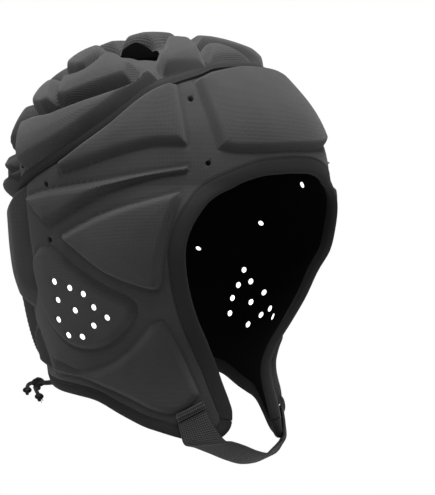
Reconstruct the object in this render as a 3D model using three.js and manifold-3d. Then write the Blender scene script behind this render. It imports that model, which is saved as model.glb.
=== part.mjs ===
// Padded scrum cap, mm. +Z up, front towards -Y, the wearer's right towards -X.
// The origin is the top of the inside of the crown, where the cap sits on a head.
import * as THREE from "three";
import { mergeVertices } from "three/addons/utils/BufferGeometryUtils.js";
import Module from "manifold-3d";

const wasm = await Module();
wasm.setup();

// Driving sizes of the head form, measured to the outer face of the shell
const WALL = 4;
const DOME_HEIGHT = 82;
const SIDE_DROP = 160;
const FRONT_REACH = 97;
const TEMPLE_REACH = 98;
const HALF_WIDTH = 83;
const REAR_SIDE_REACH = 95;
const BACK_REACH = 105;

// How the left half of the soft cap sits: turned forward, lifted and swung out at the chin
const LEFT_TURN = 10;
const LEFT_LIFT = 12;
const LEFT_SWING = 10;

// Pads
const BROW_PAD = 6;
const TEMPLE_PAD = 6.5;
const RIB_PAD = 7;
const CHEEK_PAD = 7;
const EAR_PAD = 5;
const JAW_PAD = 4.5;
const REAR_PAD = 8;
const LOWER_REAR_PAD = 5.5;
const CROWN_PAD = 9;
const TOP_PAD = 10;
const PAD_FLANK = 4;
const PAD_SHOULDER = 0.82;
const NARROW_PAD = 24;
const HAIR = 0.01;

// Edges, tape and vents
const FACE_BINDING = 10;
const HEM_BINDING = 7;
const BINDING_CLOTH = 0.7;
const BINDING_BEND = 0.9;
const TAPE_WIDTH = 6.2;
const TAPE_THICK = 1;
const VENT_RADIUS = 1.8;
const GAP = 0.3;

// Chin strap
const STRAP_THICK = 1.8;
const STRAP_SAG = 15;
const STRAP_REACH = 9;
const STRAP_LIFT = 0.9;
const PATCH_WIDTH = 5;
const PATCH_THICK = 2.4;
const PATCH_LIFT = 1.7;

// Rear lace
const LACE_RADIUS = 1.25;
const LACE_STAND = 2.8;
const LACE_HOLE_RADIUS = LACE_RADIUS + 0.9;
const LACE_STEPS = 78;
const TAIL_STEPS = 16;
const OVER_BINDING = 168;
const CROSS_LIFT = 1.6;
const LOCK_LENGTH = 19;
const LOCK_HEIGHT = 9;
const LOCK_DEPTH = 9;
const KNOT_RADIUS = 4.2;
const TIP_RADIUS = 2.4;

const WIDEST_FALL = (DOME_HEIGHT * Math.PI) / 2;
const FULL_FALL = WIDEST_FALL + SIDE_DROP;
const WIDEST_LEVEL = WALL - DOME_HEIGHT;

// Level sections below the widest level: drop as a share of SIDE_DROP, then each reach
// from the middle axis as a share of its named size
const SECTIONS = [
  // drop, front, temple, side, rear side, back
  [0.0, 1.0, 1.0, 1.0, 1.0, 1.0],
  [0.08, 1.02, 1.05, 1.0, 1.01, 1.0],
  [0.18, 1.01, 1.06, 0.99, 1.0, 0.99],
  [0.275, 0.95, 1.03, 0.965, 0.985, 0.97],
  [0.36, 0.865, 0.94, 0.935, 0.963, 0.943],
  [0.455, 0.785, 0.857, 0.885, 0.915, 0.905],
  [0.555, 0.72, 0.755, 0.825, 0.884, 0.867],
  [0.65, 0.66, 0.663, 0.765, 0.847, 0.838],
  [0.745, 0.64, 0.622, 0.71, 0.805, 0.8],
  [0.86, 0.66, 0.612, 0.657, 0.747, 0.752],
  [1.0, 0.69, 0.612, 0.6, 0.695, 0.705],
];
const REACHES = [FRONT_REACH, TEMPLE_REACH, HALF_WIDTH, REAR_SIDE_REACH, BACK_REACH];
const REACH_TURNS = [0, 40, 90, 140, 180];

// Seam between crown and side panel: degrees round from the front, fall as a share of FULL_FALL
const SEAM = [
  // turn, fall
  [0, 0.1645],
  [22.5, 0.17],
  [32, 0.187],
  [48, 0.2147],
  [61.5, 0.2441],
  [70.5, 0.2822],
  [80, 0.3203],
  [94, 0.3653],
  [109, 0.4068],
  [127, 0.4484],
  [150, 0.5055],
  [165, 0.53],
  [180, 0.5367],
];

// Free edge of the right half, from the middle of the brow down the face opening, round the
// chin, along the hem, round the rear lobe and up the rear split to the seam. Each row is one
// line across the panel: where it leaves the seam, and where it meets the free edge.
const EDGE = [
  // seam turn, edge turn, edge fall
  [0, 0, 0.4207],
  [15, 15, 0.4259],
  [26, 28, 0.4484],
  [33, 35.5, 0.4692],
  [39, 40, 0.4986],
  [44, 43.5, 0.535],
  [49, 45.5, 0.5783],
  [54, 45, 0.6319],
  [59, 42, 0.696],
  [63, 37, 0.7497],
  [67, 29.5, 0.8],
  [70, 24, 0.8362],
  [73, 19.5, 0.876],
  [76, 15.5, 0.9159],
  [78, 14, 0.9418],
  [80.5, 16, 0.973],
  [83, 23, 0.9938],
  [86, 33, 0.999],
  [89, 44, 0.992],
  [93, 57.5, 0.98],
  [98, 70.5, 0.9678],
  [106, 88.5, 0.9436],
  [114, 104, 0.9176],
  [123, 118, 0.9072],
  [136, 136, 0.8985],
  [146, 148, 0.89],
  [152.5, 157, 0.869],
  [157, 163.5, 0.831],
  [160, 167, 0.7687],
  [162, 168.5, 0.658],
  [163.7, 169, 0.5713],
  [165, 169, 0.5385],
];
const CHIN_ROW = 14.5;
const REAR_TURNS = [172, 180, -172];

// How far forward and down the ear pad of the left half sits, in degrees and in fall
const LEFT_EAR_TURN = 9;
const LEFT_EAR_FALL = 0.03;

// Pads of the side panel: each row is one section, with its two edge points
const SIDE_PADS = {
  temple_pad: [
    TEMPLE_PAD,
    [
      // turn a, fall a, turn b, fall b
      [47, 0.2354, 43.5, 0.362],
      [58, 0.2475, 55, 0.362],
      [70, 0.289, 66, 0.374],
      [80, 0.328, 77, 0.39],
      [94, 0.373, 90, 0.409],
      [107, 0.413, 104, 0.427],
    ],
  ],
  rib_pad: [
    RIB_PAD,
    [
      [43.5, 0.4025, 43.5, 0.4178],
      [59, 0.4172, 60, 0.4362],
      [85.5, 0.4414, 85.5, 0.4812],
      [107, 0.457, 102, 0.519],
      [129, 0.478, 113, 0.54],
    ],
  ],
  rear_pad: [
    REAR_PAD,
    [
      [147.5, 0.5367, 130, 0.5263],
      [148.5, 0.5955, 127.5, 0.5955],
      [148.5, 0.6647, 128.5, 0.6716],
      [146.5, 0.7271, 138, 0.7201],
    ],
  ],
  lobe_pad: [
    REAR_PAD,
    [
      [160.5, 0.5506, 151.5, 0.5436],
      [161, 0.6405, 151.5, 0.6405],
      [159.5, 0.7374, 150, 0.7478],
      [155, 0.81, 148, 0.824],
      [150, 0.843, 146.5, 0.848],
    ],
  ],
  lower_rear_pad: [
    LOWER_REAR_PAD,
    [
      [146, 0.7548, 140, 0.7652],
      [145, 0.8032, 136, 0.8067],
      [143.5, 0.8517, 134, 0.8552],
    ],
  ],
};

// Ear pad of the right half; the left one is moved. Then the jaw pads below each of them
const EAR_SECTIONS = [
  [125.5, 0.6163, 125.8, 0.7029],
  [121, 0.5886, 122.5, 0.7513],
  [112, 0.5851, 113, 0.7963],
  [98.5, 0.6284, 99, 0.8067],
  [83, 0.6647, 84, 0.7894],
  [71, 0.6872, 71, 0.7496],
  [66, 0.7028, 66.5, 0.7236],
];
const RIGHT_JAW = [
  [130, 0.831, 130, 0.8625],
  [120, 0.843, 119, 0.866],
  [110, 0.8552, 108, 0.8725],
  [97, 0.8466, 95, 0.8898],
  [81, 0.8206, 77, 0.914],
  [67, 0.7773, 58, 0.9395],
  [60, 0.746, 43, 0.9395],
  [53.5, 0.738, 33, 0.9],
];
const LEFT_JAW = [
  [130, 0.831, 130, 0.8625],
  [120, 0.843, 119, 0.866],
  [108, 0.8575, 106, 0.8745],
  [92, 0.862, 92, 0.8945],
  [76, 0.845, 74, 0.917],
  [63, 0.804, 56, 0.9395],
  [55, 0.78, 43, 0.9395],
  [49.5, 0.772, 33, 0.9],
];

// Cheek pad from the front to the rear: its upper edge and the rear of its lower edge as turn
// and fall, and the front of its lower edge as a row of the free edge and mm from the binding
const CHEEK_UPPER = [
  [46.5, 0.457],
  [52, 0.4656],
  [60, 0.4778],
  [73.5, 0.4985],
  [85, 0.5176],
  [95, 0.5366],
  [106, 0.5591],
];
const CHEEK_FRONT = [
  [4, 3.7],
  [5.5, 1.3],
  [6.5, 2.9],
  [7.4, 7.4],
];
const CHEEK_LOWER = [
  [68, 0.6595],
  [84, 0.63],
  [104, 0.5713],
];

const BROW_SECTIONS = [
  [38, 0.2215, 32.5, 0.353],
  [28, 0.1885, 26, 0.3565],
  [14, 0.1755, 13, 0.355],
  [0, 0.1725, 0, 0.353],
  [-14, 0.1755, -13, 0.355],
  [-28, 0.1885, -26, 0.3565],
  [-38, 0.2215, -32.5, 0.353],
];

// Pads of the crown, as shares of FULL_FALL on the flattened crown: across to the wearer's
// right and back from the top
const CROWN_PADS = {
  front_side: [
    CROWN_PAD,
    [
      // across a, back a, across b, back b
      [0.1264, -0.0918, 0.071, -0.13],
      [0.1195, -0.0693, 0.0519, -0.1143],
      [0.0727, -0.0346, 0.026, -0.0796],
      [0.0312, -0.0121, 0.0087, -0.0519],
    ],
  ],
  top_side: [
    CROWN_PAD,
    [
      [0.0502, 0.1091, 0.0606, 0.1506],
      [0.0831, 0.0866, 0.09, 0.1731],
      [0.1212, 0.071, 0.1281, 0.1541],
      [0.1697, 0.0866, 0.1593, 0.1143],
    ],
  ],
  middle_side: [
    CROWN_PAD,
    [
      [0.1645, -0.045, 0.2078, -0.0641],
      [0.1541, -0.0069, 0.2389, 0.0035],
      [0.1281, 0.0537, 0.2545, 0.0589],
      [0.1783, 0.0779, 0.258, 0.0935],
      [0.1697, 0.1385, 0.2476, 0.1264],
    ],
  ],
  rear_upper: [
    CROWN_PAD,
    [
      [0.1108, 0.2216, 0.1091, 0.1974],
      [0.142, 0.2441, 0.161, 0.1558],
      [0.1939, 0.2233, 0.2112, 0.1437],
      [0.232, 0.18, 0.2459, 0.1385],
    ],
  ],
  seam_long: [
    CROWN_PAD,
    [
      [0.1593, -0.0796, 0.1697, -0.1039],
      [0.2147, -0.0727, 0.2285, -0.0841],
      [0.2476, -0.0208, 0.2857, -0.045],
      [0.2666, 0.0485, 0.3331, 0.027],
      [0.2701, 0.1073, 0.3525, 0.0945],
      [0.2614, 0.1524, 0.3532, 0.1662],
      [0.2147, 0.2389, 0.3352, 0.2458],
      [0.18, 0.2649, 0.3134, 0.2718],
    ],
  ],
  rear_strip: [
    CROWN_PAD,
    [
      [0.1108, 0.2632, 0.097, 0.3082],
      [0.1489, 0.284, 0.135, 0.3359],
      [0.1766, 0.3151, 0.1627, 0.3567],
    ],
  ],
  rear_round: [
    CROWN_PAD,
    [
      [0.1974, 0.3272, 0.1766, 0.3601],
      [0.2181, 0.3359, 0.2008, 0.3757],
      [0.2355, 0.3497, 0.2216, 0.3729],
    ],
  ],
  rear_low: [
    CROWN_PAD,
    [
      [0.2735, 0.3324, 0.2822, 0.3463],
      [0.2233, 0.3878, 0.2372, 0.4086],
      [0.1593, 0.4086, 0.1714, 0.4598],
    ],
  ],
};

// Pads on the middle line of the crown: half width and place of each section
const MIDDLE_PADS = {
  front: [
    TOP_PAD,
    [
      // half width, back
      [0.0571, -0.1264],
      [0.0381, -0.1056],
      [0.0121, -0.0796],
    ],
  ],
  top: [
    TOP_PAD,
    [
      [0.0294, 0.0173],
      [0.0346, 0.0485],
      [0.0312, 0.0796],
    ],
  ],
  behind_top: [
    TOP_PAD,
    [
      [0.0294, 0.097],
      [0.0398, 0.1316],
      [0.0381, 0.1627],
    ],
  ],
  upper_rear: [
    CROWN_PAD,
    [
      [0.0398, 0.1835],
      [0.0796, 0.2077],
      [0.09, 0.2424],
      [0.0831, 0.2666],
    ],
  ],
  rear: [
    CROWN_PAD,
    [
      [0.0727, 0.2874],
      [0.0762, 0.3186],
      [0.1143, 0.3497],
      [0.1246, 0.3705],
    ],
  ],
  low_rear: [
    CROWN_PAD,
    [
      [0.1385, 0.3913],
      [0.1385, 0.4294],
      [0.142, 0.4744],
    ],
  ],
};

// Cut-through vents of the crown, corners as shares of FULL_FALL, on the right half
const TOP_VENT = [
  [0.0468, 0.0935],
  [0.09, 0.0554],
  [0.116, 0.0],
  [0.1073, -0.0502],
  [0.0693, -0.026],
  [0.0485, 0.0],
  [0.0433, 0.0485],
];
const REAR_VENT = [
  [0.18, 0.2852],
  [0.3047, 0.2805],
  [0.2199, 0.3186],
];

// Round vents over the ear and single ones elsewhere, for each half: turn and fall
const RIGHT_VENTS = [
  [110, 0.6561],
  [101.5, 0.6682],
  [94, 0.6803],
  [110.5, 0.6959],
  [101, 0.7167],
  [89, 0.708],
  [82, 0.7288],
  [113, 0.7392],
  [91.5, 0.7478],
  [109, 0.7721],
  [100.5, 0.7738],
  [41, 0.2493],
  [36.5, 0.3982],
  [114, 0.4518],
  [113, 0.5713],
];
const LEFT_VENTS = [
  [101.8, 0.6951],
  [96.4, 0.7202],
  [103.8, 0.7289],
  [86.2, 0.7436],
  [106.2, 0.7574],
  [93.1, 0.7652],
  [77.2, 0.7775],
  [106.2, 0.7905],
  [82.6, 0.7921],
  [69.2, 0.7855],
  [90.5, 0.8135],
  [41, 0.2493],
  [36.5, 0.3982],
  [62.4, 0.4579],
  [86.4, 0.5531],
  [125.1, 0.6388],
];

// Lace holes beside the rear split, from the top down
const LACE_HOLES = [
  [163, 0.5575],
  [162.6, 0.6682],
  [161.5, 0.7652],
];

// Rows of the side panel's inner face, from the seam to the edge
const INNER_ROWS = [0, 0.2, 0.4, 0.6, 0.8, 1];

const RAD = Math.PI / 180;

// Cubic through the rows of a table, with slopes from the neighbouring rows
function through(stations, values, x) {
  const last = stations.length - 1;
  let i = 0;
  while (i < last - 1 && x > stations[i + 1]) i += 1;
  const [x0, x1] = [stations[i], stations[i + 1]];
  const [y0, y1] = [values[i], values[i + 1]];
  const slope = (a, b) => (values[b] - values[a]) / (stations[b] - stations[a]);
  const width = x1 - x0;
  const m0 = i > 0 ? slope(i - 1, i + 1) : slope(0, 1);
  const m1 = i < last - 1 ? slope(i, i + 2) : slope(last - 1, last);
  const t = Math.min(1, Math.max(0, (x - x0) / width));
  const t2 = t * t;
  const t3 = t2 * t;
  return (
    (2 * t3 - 3 * t2 + 1) * y0 +
    (t3 - 2 * t2 + t) * width * m0 +
    (3 * t2 - 2 * t3) * y1 +
    (t3 - t2) * width * m1
  );
}

function ease(low, high, x) {
  const t = Math.min(1, Math.max(0, (x - low) / (high - low)));
  return t * t * (3 - 2 * t);
}

const DROPS = SECTIONS.map((row) => row[0]);

// Reach of the shell from the middle axis at a turn and a drop below the widest level
function reachAt(turn, drop) {
  const share = Math.min(1, Math.max(0, drop / SIDE_DROP));
  const ring = REACHES.map(
    (size, k) => size * through(DROPS, SECTIONS.map((row) => row[k + 1]), share)
  );
  const turns = [-REACH_TURNS[1], ...REACH_TURNS, 360 - REACH_TURNS[3]];
  return through(turns, [ring[1], ...ring, ring[3]], Math.abs(turn));
}

// Outer face of the bare shell
function shellPoint(turn, fall) {
  let around = ((turn + 540) % 360) - 180;
  let down = fall;
  let swing = 0;
  if (around < 0) {
    const side = ease(45, 80, -around) * (1 - ease(130, 165, -around));
    const low = ease(0.52, 0.7, fall / FULL_FALL) * side;
    around += LEFT_TURN * low;
    down -= LEFT_LIFT * low;
    swing = LEFT_SWING * ease(0.83, 0.97, fall / FULL_FALL) * (1 - ease(45, 110, -around));
  }
  const angle = Math.min(down, WIDEST_FALL) / DOME_HEIGHT;
  const drop = Math.max(0, down - WIDEST_FALL);
  const reach = reachAt(around, drop) * Math.sin(angle);
  const level = WIDEST_LEVEL + DOME_HEIGHT * Math.cos(angle) - drop;
  return new THREE.Vector3(
    -reach * Math.sin(around * RAD),
    -reach * Math.cos(around * RAD) - swing,
    level
  );
}

// The crown flattened about the top: across to the wearer's right and back, in mm
function turnOf(across, back) {
  return Math.atan2(across, -back) / RAD;
}

function crownPoint(across, back, height) {
  const step = 1;
  const at = (a, b) => shellPoint(turnOf(a, b), Math.hypot(a, b));
  const alongAcross = at(across + step, back).sub(at(across - step, back));
  const alongBack = at(across, back + step).sub(at(across, back - step));
  const normal = alongBack.cross(alongAcross).normalize();
  return at(across, back).addScaledVector(normal, height);
}

function sidePoint(turn, fall, height) {
  return crownPoint(fall * Math.sin(turn * RAD), -fall * Math.cos(turn * RAD), height);
}

function seamFall(turn) {
  const round = Math.abs(((turn + 540) % 360) - 180);
  const turns = [-SEAM[1][0], ...SEAM.map((row) => row[0]), 360 - SEAM[SEAM.length - 2][0]];
  const falls = [SEAM[1][1], ...SEAM.map((row) => row[1]), SEAM[SEAM.length - 2][1]];
  return FULL_FALL * through(turns, falls, round);
}

const ROWS = EDGE.map((row, i) => i);

// Free edge at a row number, negative rows on the left half
function edgeAt(row) {
  const side = row < 0 ? -1 : 1;
  const r = Math.abs(row);
  return {
    seamTurn: side * through(ROWS, EDGE.map((e) => e[0]), r),
    turn: side * through(ROWS, EDGE.map((e) => e[1]), r),
    fall: FULL_FALL * through(ROWS, EDGE.map((e) => e[2]), r),
  };
}

function degreeLength(turn, fall) {
  const angle = Math.min(fall, WIDEST_FALL) / DOME_HEIGHT;
  return reachAt(turn, Math.max(0, fall - WIDEST_FALL)) * Math.sin(angle) * RAD;
}

function bindingWidth(row) {
  const share = ease(CHIN_ROW - 1.5, CHIN_ROW + 1.5, Math.abs(row));
  return FACE_BINDING + (HEM_BINDING - FACE_BINDING) * share;
}

// Turn and fall of a point set in from the free edge, square to it along the panel
function insetFrom(row, distance) {
  const last = EDGE.length - 1;
  const here = edgeAt(row);
  const before = edgeAt(Math.max(-last, row - 0.1));
  const after = edgeAt(Math.min(last, row + 0.1));
  const perDegree = degreeLength(here.turn, here.fall);
  const run = new THREE.Vector2(
    (after.turn - before.turn) * perDegree,
    after.fall - before.fall
  ).normalize();
  return {
    turn: here.turn + (distance * run.y) / perDegree,
    fall: here.fall - distance * run.x,
  };
}

// Sections of the cheek pad, whose front edge keeps beside the binding
function cheekSections() {
  const front = CHEEK_FRONT.map(([row, distance]) => {
    const spot = insetFrom(row, bindingWidth(row) + distance);
    return [spot.turn, spot.fall / FULL_FALL];
  });
  const lower = [...front, ...CHEEK_LOWER];
  return CHEEK_UPPER.map((upper, k) => [...upper, ...lower[k]]);
}

// Points and faces of one closed body
function net() {
  const points = [];
  const faces = [];
  return {
    points,
    faces,
    point(place) {
      points.push(place);
      return points.length - 1;
    },
    // Four corners in order round, split along the shorter way across
    quad(a, b, c, d) {
      if (points[a].distanceTo(points[c]) <= points[b].distanceTo(points[d])) {
        faces.push([a, b, c], [a, c, d]);
      } else {
        faces.push([a, b, d], [b, c, d]);
      }
    },
  };
}

// Geometry of a net, with its faces turned out
function body({ points, faces }) {
  let volume = 0;
  for (const [a, b, c] of faces) {
    volume += points[a].dot(new THREE.Vector3().crossVectors(points[b], points[c]));
  }
  const facing = volume < 0 ? faces.map(([a, b, c]) => [a, c, b]) : faces;
  const geometry = new THREE.BufferGeometry();
  geometry.setAttribute(
    "position",
    new THREE.Float32BufferAttribute(points.flatMap((p) => [p.x, p.y, p.z]), 3)
  );
  geometry.setIndex(facing.flat());
  return geometry;
}

function solid(geometry) {
  const plain = geometry.clone();
  plain.deleteAttribute("normal");
  plain.deleteAttribute("uv");
  const merged = mergeVertices(plain, 1e-4);
  return new wasm.Manifold(
    new wasm.Mesh({
      numProp: 3,
      vertProperties: new Float32Array(merged.attributes.position.array),
      triVerts: new Uint32Array(merged.index.array),
    })
  );
}

function shape(manifold) {
  const mesh = manifold.getMesh();
  const geometry = new THREE.BufferGeometry();
  geometry.setAttribute("position", new THREE.BufferAttribute(mesh.vertProperties, 3));
  geometry.setIndex(new THREE.BufferAttribute(mesh.triVerts, 1));
  return geometry;
}

// Body of a profile carried through stations, closed to a ring or capped at its ends
function carried(profiles, caps) {
  const made = net();
  const ids = profiles.map((profile) => profile.map((place) => made.point(place)));
  const ring = caps === null;
  const spans = ring ? ids.length : ids.length - 1;
  const count = ids[0].length;
  for (let i = 0; i < spans; i += 1) {
    const [here, next] = [ids[i], ids[(i + 1) % ids.length]];
    for (let k = 0; k < count; k += 1) {
      const side = (k + 1) % count;
      made.quad(here[k], next[k], next[side], here[side]);
    }
  }
  if (!ring) {
    const [first, last] = [ids[0], ids[ids.length - 1]];
    for (const [a, b, c] of caps) {
      made.faces.push([first[a], first[b], first[c]], [last[a], last[c], last[b]]);
    }
  }
  return body(made);
}

// Triangles over a flat region with holes. Ears are cut first, then the edge between two
// triangles is turned wherever that makes them rounder on the real surface.
function fill(made, outline, holes) {
  const spots = [outline, ...holes].flat();
  const flat = (ring) => ring.map((spot) => spot.flat.clone());
  const faces = THREE.ShapeUtils.triangulateShape(flat(outline), holes.map(flat));
  const area = (a, b, c) => {
    const [p, q, r] = [spots[a].flat, spots[b].flat, spots[c].flat];
    return (q.x - p.x) * (r.y - p.y) - (q.y - p.y) * (r.x - p.x);
  };
  for (const face of faces) {
    if (area(...face) < 0) face.reverse();
  }
  const angle = (at, p, q) => {
    const corner = made.points[spots[at].id];
    const one = made.points[spots[p].id].clone().sub(corner);
    return one.angleTo(made.points[spots[q].id].clone().sub(corner));
  };
  let turning = true;
  while (turning) {
    turning = false;
    const owner = new Map();
    const touched = new Set();
    faces.forEach((face, f) => {
      face.forEach((a, k) => owner.set(`${a} ${face[(k + 1) % 3]}`, f));
    });
    for (const [edge, f] of owner) {
      const [a, b] = edge.split(" ").map(Number);
      const g = owner.get(`${b} ${a}`);
      if (a > b || g === undefined || touched.has(f) || touched.has(g)) continue;
      const c = faces[f].find((v) => v !== a && v !== b);
      const d = faces[g].find((v) => v !== a && v !== b);
      const rounder = angle(c, a, b) + angle(d, a, b) > Math.PI + 1e-4;
      if (rounder && area(a, d, c) > 1e-3 && area(d, b, c) > 1e-3) {
        faces[f] = [a, d, c];
        faces[g] = [d, b, c];
        touched.add(f).add(g);
        turning = true;
      }
    }
  }
  for (const face of faces) made.faces.push(face.map((v) => spots[v].id));
}

// Padded block on the shell: sections with two edge points each, flanks up from the shell to
// a plateau. Gives back its outline, which is a hole in the shell's own face.
function pad(made, sections, height, place, flatten) {
  const mix = (s, e, t) => s.map((v, k) => v + (e[k] - v) * t);
  const middle = (s) => place((s[0] + s[2]) / 2, (s[1] + s[3]) / 2, 0);
  const inset = (s, e) => Math.min(0.45, PAD_FLANK / middle(s).distanceTo(middle(e)));
  const last = sections.length - 1;
  const rows = [
    [sections[0], 0],
    [mix(sections[0], sections[1], inset(sections[0], sections[1])), PAD_SHOULDER],
    ...sections.slice(1, last).map((section) => [section, 1]),
    [mix(sections[last], sections[last - 1], inset(sections[last], sections[last - 1])), PAD_SHOULDER],
    [sections[last], 0],
  ];
  const widest = Math.max(
    ...sections.map((s) => place(s[0], s[1], 0).distanceTo(place(s[2], s[3], 0)))
  );
  const broad = widest > NARROW_PAD;
  const spots = rows.map(([s, rise]) => {
    const width = place(s[0], s[1], 0).distanceTo(place(s[2], s[3], 0));
    const share = Math.min(0.3, PAD_FLANK / width);
    const across = broad ? [0, share, 0.5, 1 - share, 1] : [0, share, 1 - share, 1];
    const lift = broad
      ? [0, PAD_SHOULDER, 1, PAD_SHOULDER, 0]
      : [0, PAD_SHOULDER, PAD_SHOULDER, 0];
    return across.map((t, k) => {
      const [u, v] = [s[0] + (s[2] - s[0]) * t, s[1] + (s[3] - s[1]) * t];
      const id = made.point(place(u, v, height * Math.min(rise, lift[k])));
      // A hair of unevenness keeps points on a straight edge from being dropped
      const flat = flatten(u, v).addScalar(HAIR * Math.sin(id));
      return { id, flat };
    });
  });
  const columns = spots[0].length;
  const one = spots[0][0].flat;
  const run = spots[1][0].flat.clone().sub(one);
  const way = spots[0][1].flat.clone().sub(one);
  const turned = run.x * way.y - run.y * way.x < 0;
  for (let i = 0; i < spots.length - 1; i += 1) {
    for (let j = 0; j < columns - 1; j += 1) {
      const corners = [spots[i][j], spots[i + 1][j], spots[i + 1][j + 1], spots[i][j + 1]];
      const ids = corners.map((spot) => spot.id);
      made.quad(...(turned ? ids.reverse() : ids));
    }
  }
  const end = spots.length - 1;
  return [
    ...spots.map((row) => row[0]),
    ...spots[end].slice(1, columns - 1),
    ...spots.map((row) => row[columns - 1]).reverse(),
    ...spots[0].slice(1, columns - 1).reverse(),
  ];
}

const onCrown = (across, back, h) => crownPoint(across, back, h);
const crownFlat = (across, back) => new THREE.Vector2(across, back);
const DEGREE = 1.6;
const sideFlat = (turn, fall) => new THREE.Vector2(turn * DEGREE, fall);

// Sections of a table with their shares made mm, on the right half and mirrored to the left
function bothSides(sections, scales) {
  const right = sections.map((row) => row.map((value, k) => value * scales[k % 2]));
  const left = right.map(([a, b, c, d]) => [-a, b, -c, d]);
  return [right, left];
}

// Round cutter square to the shell
function ventCutter(turn, fall, radius) {
  const outside = sidePoint(turn, fall, 2 * REAR_PAD);
  const inside = sidePoint(turn, fall, -3 * WALL);
  const length = outside.distanceTo(inside);
  const cutter = new THREE.CylinderGeometry(radius, radius, length, 6);
  const turned = new THREE.Quaternion().setFromUnitVectors(
    new THREE.Vector3(0, 1, 0),
    outside.clone().sub(inside).normalize()
  );
  cutter.applyQuaternion(turned);
  const middle = outside.add(inside).multiplyScalar(0.5);
  cutter.translate(middle.x, middle.y, middle.z);
  return solid(cutter);
}

// Straight-walled cutter through the crown with a many-cornered outline
function openingCutter(corners, side) {
  const level = (h) =>
    corners.map(([a, b]) => crownPoint(side * a * FULL_FALL, b * FULL_FALL, h));
  const flat = corners.map(([a, b]) => new THREE.Vector2(a, b));
  const caps = THREE.ShapeUtils.triangulateShape(flat, []);
  const turned = THREE.ShapeUtils.area(flat) > 0;
  return solid(
    carried(
      [level(2 * CROWN_PAD), level(-3 * WALL)],
      turned ? caps : caps.map(([x, y, z]) => [x, z, y])
    )
  );
}

// Side panel: one wrap from the right rear edge round the brow to the left rear edge. Each
// column runs round the panel's section: outer top, outer shoulder, the tongue inside the
// binding, inner shoulder and the inner face back up to the seam.
function sidePanel() {
  const last = EDGE.length - 1;
  const made = net();
  const tongueOut = -BINDING_CLOTH - GAP;
  const tongueIn = -WALL + BINDING_CLOTH + GAP;
  const columns = [];
  for (let row = -last; row <= last; row += 1) {
    const edge = edgeAt(row);
    const width = bindingWidth(row) + GAP;
    const top = { turn: edge.seamTurn, fall: seamFall(edge.seamTurn) + GAP / 2 };
    const shoulder = insetFrom(row, width + 0.1);
    const root = insetFrom(row, width);
    const tip = insetFrom(row, BINDING_BEND);
    const bend = { turn: top.turn, fall: top.fall + 0.7 * (shoulder.fall - top.fall) };
    const inner = INNER_ROWS.map((t) => {
      const way = (key) =>
        (1 - t) * (1 - t) * top[key] + 2 * t * (1 - t) * bend[key] + t * t * shoulder[key];
      return [{ turn: way("turn"), fall: way("fall") }, -WALL];
    });
    const section = [
      [top, 0],
      [shoulder, 0],
      [root, tongueOut],
      [tip, tongueOut],
      [tip, tongueIn],
      [root, tongueIn],
      ...inner.reverse(),
    ];
    columns.push(
      section.map(([spot, h]) => ({
        id: made.point(sidePoint(spot.turn, spot.fall, h)),
        flat: sideFlat(spot.turn, spot.fall),
      }))
    );
  }
  const count = columns[0].length;
  for (let i = 0; i < columns.length - 1; i += 1) {
    for (let k = 1; k < count; k += 1) {
      const m = (k + 1) % count;
      const corners = [columns[i][k], columns[i + 1][k], columns[i + 1][m], columns[i][m]];
      made.quad(...corners.map((spot) => spot.id));
    }
  }
  const [first, final] = [columns[0], columns[columns.length - 1]];
  for (let k = 0; k < count; k += 1) {
    const m = (k + 1) % count;
    if (k === 2 || m === 2) continue;
    made.faces.push([first[2].id, first[k].id, first[m].id]);
    made.faces.push([final[2].id, final[m].id, final[k].id]);
  }
  const outline = [
    ...columns.map((column) => column[0]),
    ...columns.map((column) => column[1]).reverse(),
  ];
  const browSections = BROW_SECTIONS.map(([a, b, c, d]) => [a, b * FULL_FALL, c, d * FULL_FALL]);
  const holes = [pad(made, browSections, BROW_PAD, sidePoint, sideFlat)];
  const leftEar = EAR_SECTIONS.map(([a, b, c, d]) => [
    a - LEFT_EAR_TURN,
    b + LEFT_EAR_FALL,
    c - LEFT_EAR_TURN,
    d + LEFT_EAR_FALL,
  ]);
  const blocks = [
    ...Object.values(SIDE_PADS).map(([height, sections]) => [height, sections, sections]),
    [CHEEK_PAD, cheekSections(), cheekSections()],
    [EAR_PAD, EAR_SECTIONS, leftEar],
    [JAW_PAD, RIGHT_JAW, LEFT_JAW],
  ];
  for (const [height, right, left] of blocks) {
    const halves = [bothSides(right, [1, FULL_FALL])[0], bothSides(left, [1, FULL_FALL])[1]];
    for (const half of halves) holes.push(pad(made, half, height, sidePoint, sideFlat));
  }
  fill(made, outline, holes);
  let panel = solid(body(made));
  for (const [side, vents] of [[1, RIGHT_VENTS], [-1, LEFT_VENTS]]) {
    for (const [turn, fall] of vents) {
      panel = panel.subtract(ventCutter(side * turn, fall * FULL_FALL, VENT_RADIUS));
    }
    for (const [turn, fall] of LACE_HOLES) {
      panel = panel.subtract(ventCutter(side * turn, fall * FULL_FALL, LACE_HOLE_RADIUS));
    }
  }
  return shape(panel);
}

// Turns of the lines that cross the seam, once round
function seamTurns() {
  const right = EDGE.map((row) => row[0]);
  const left = right.slice(1).map((turn) => -turn);
  return [...left.reverse(), ...right, ...REAR_TURNS];
}

const CROWN_MIDDLE = 0.14;
const CROWN_INNER = [0.8, 0.6, 0.4, 0.2];

// Point on the flattened crown, a share of the way from its middle to a distance in from the seam
function crownSpot(turn, share, inset) {
  const fall = seamFall(turn);
  const seam = new THREE.Vector2(fall * Math.sin(turn * RAD), -fall * Math.cos(turn * RAD));
  const middle = new THREE.Vector2(0, CROWN_MIDDLE * FULL_FALL);
  const way = middle.clone().sub(seam);
  seam.addScaledVector(way.clone().normalize(), inset);
  return middle.lerp(seam, share);
}

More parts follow.
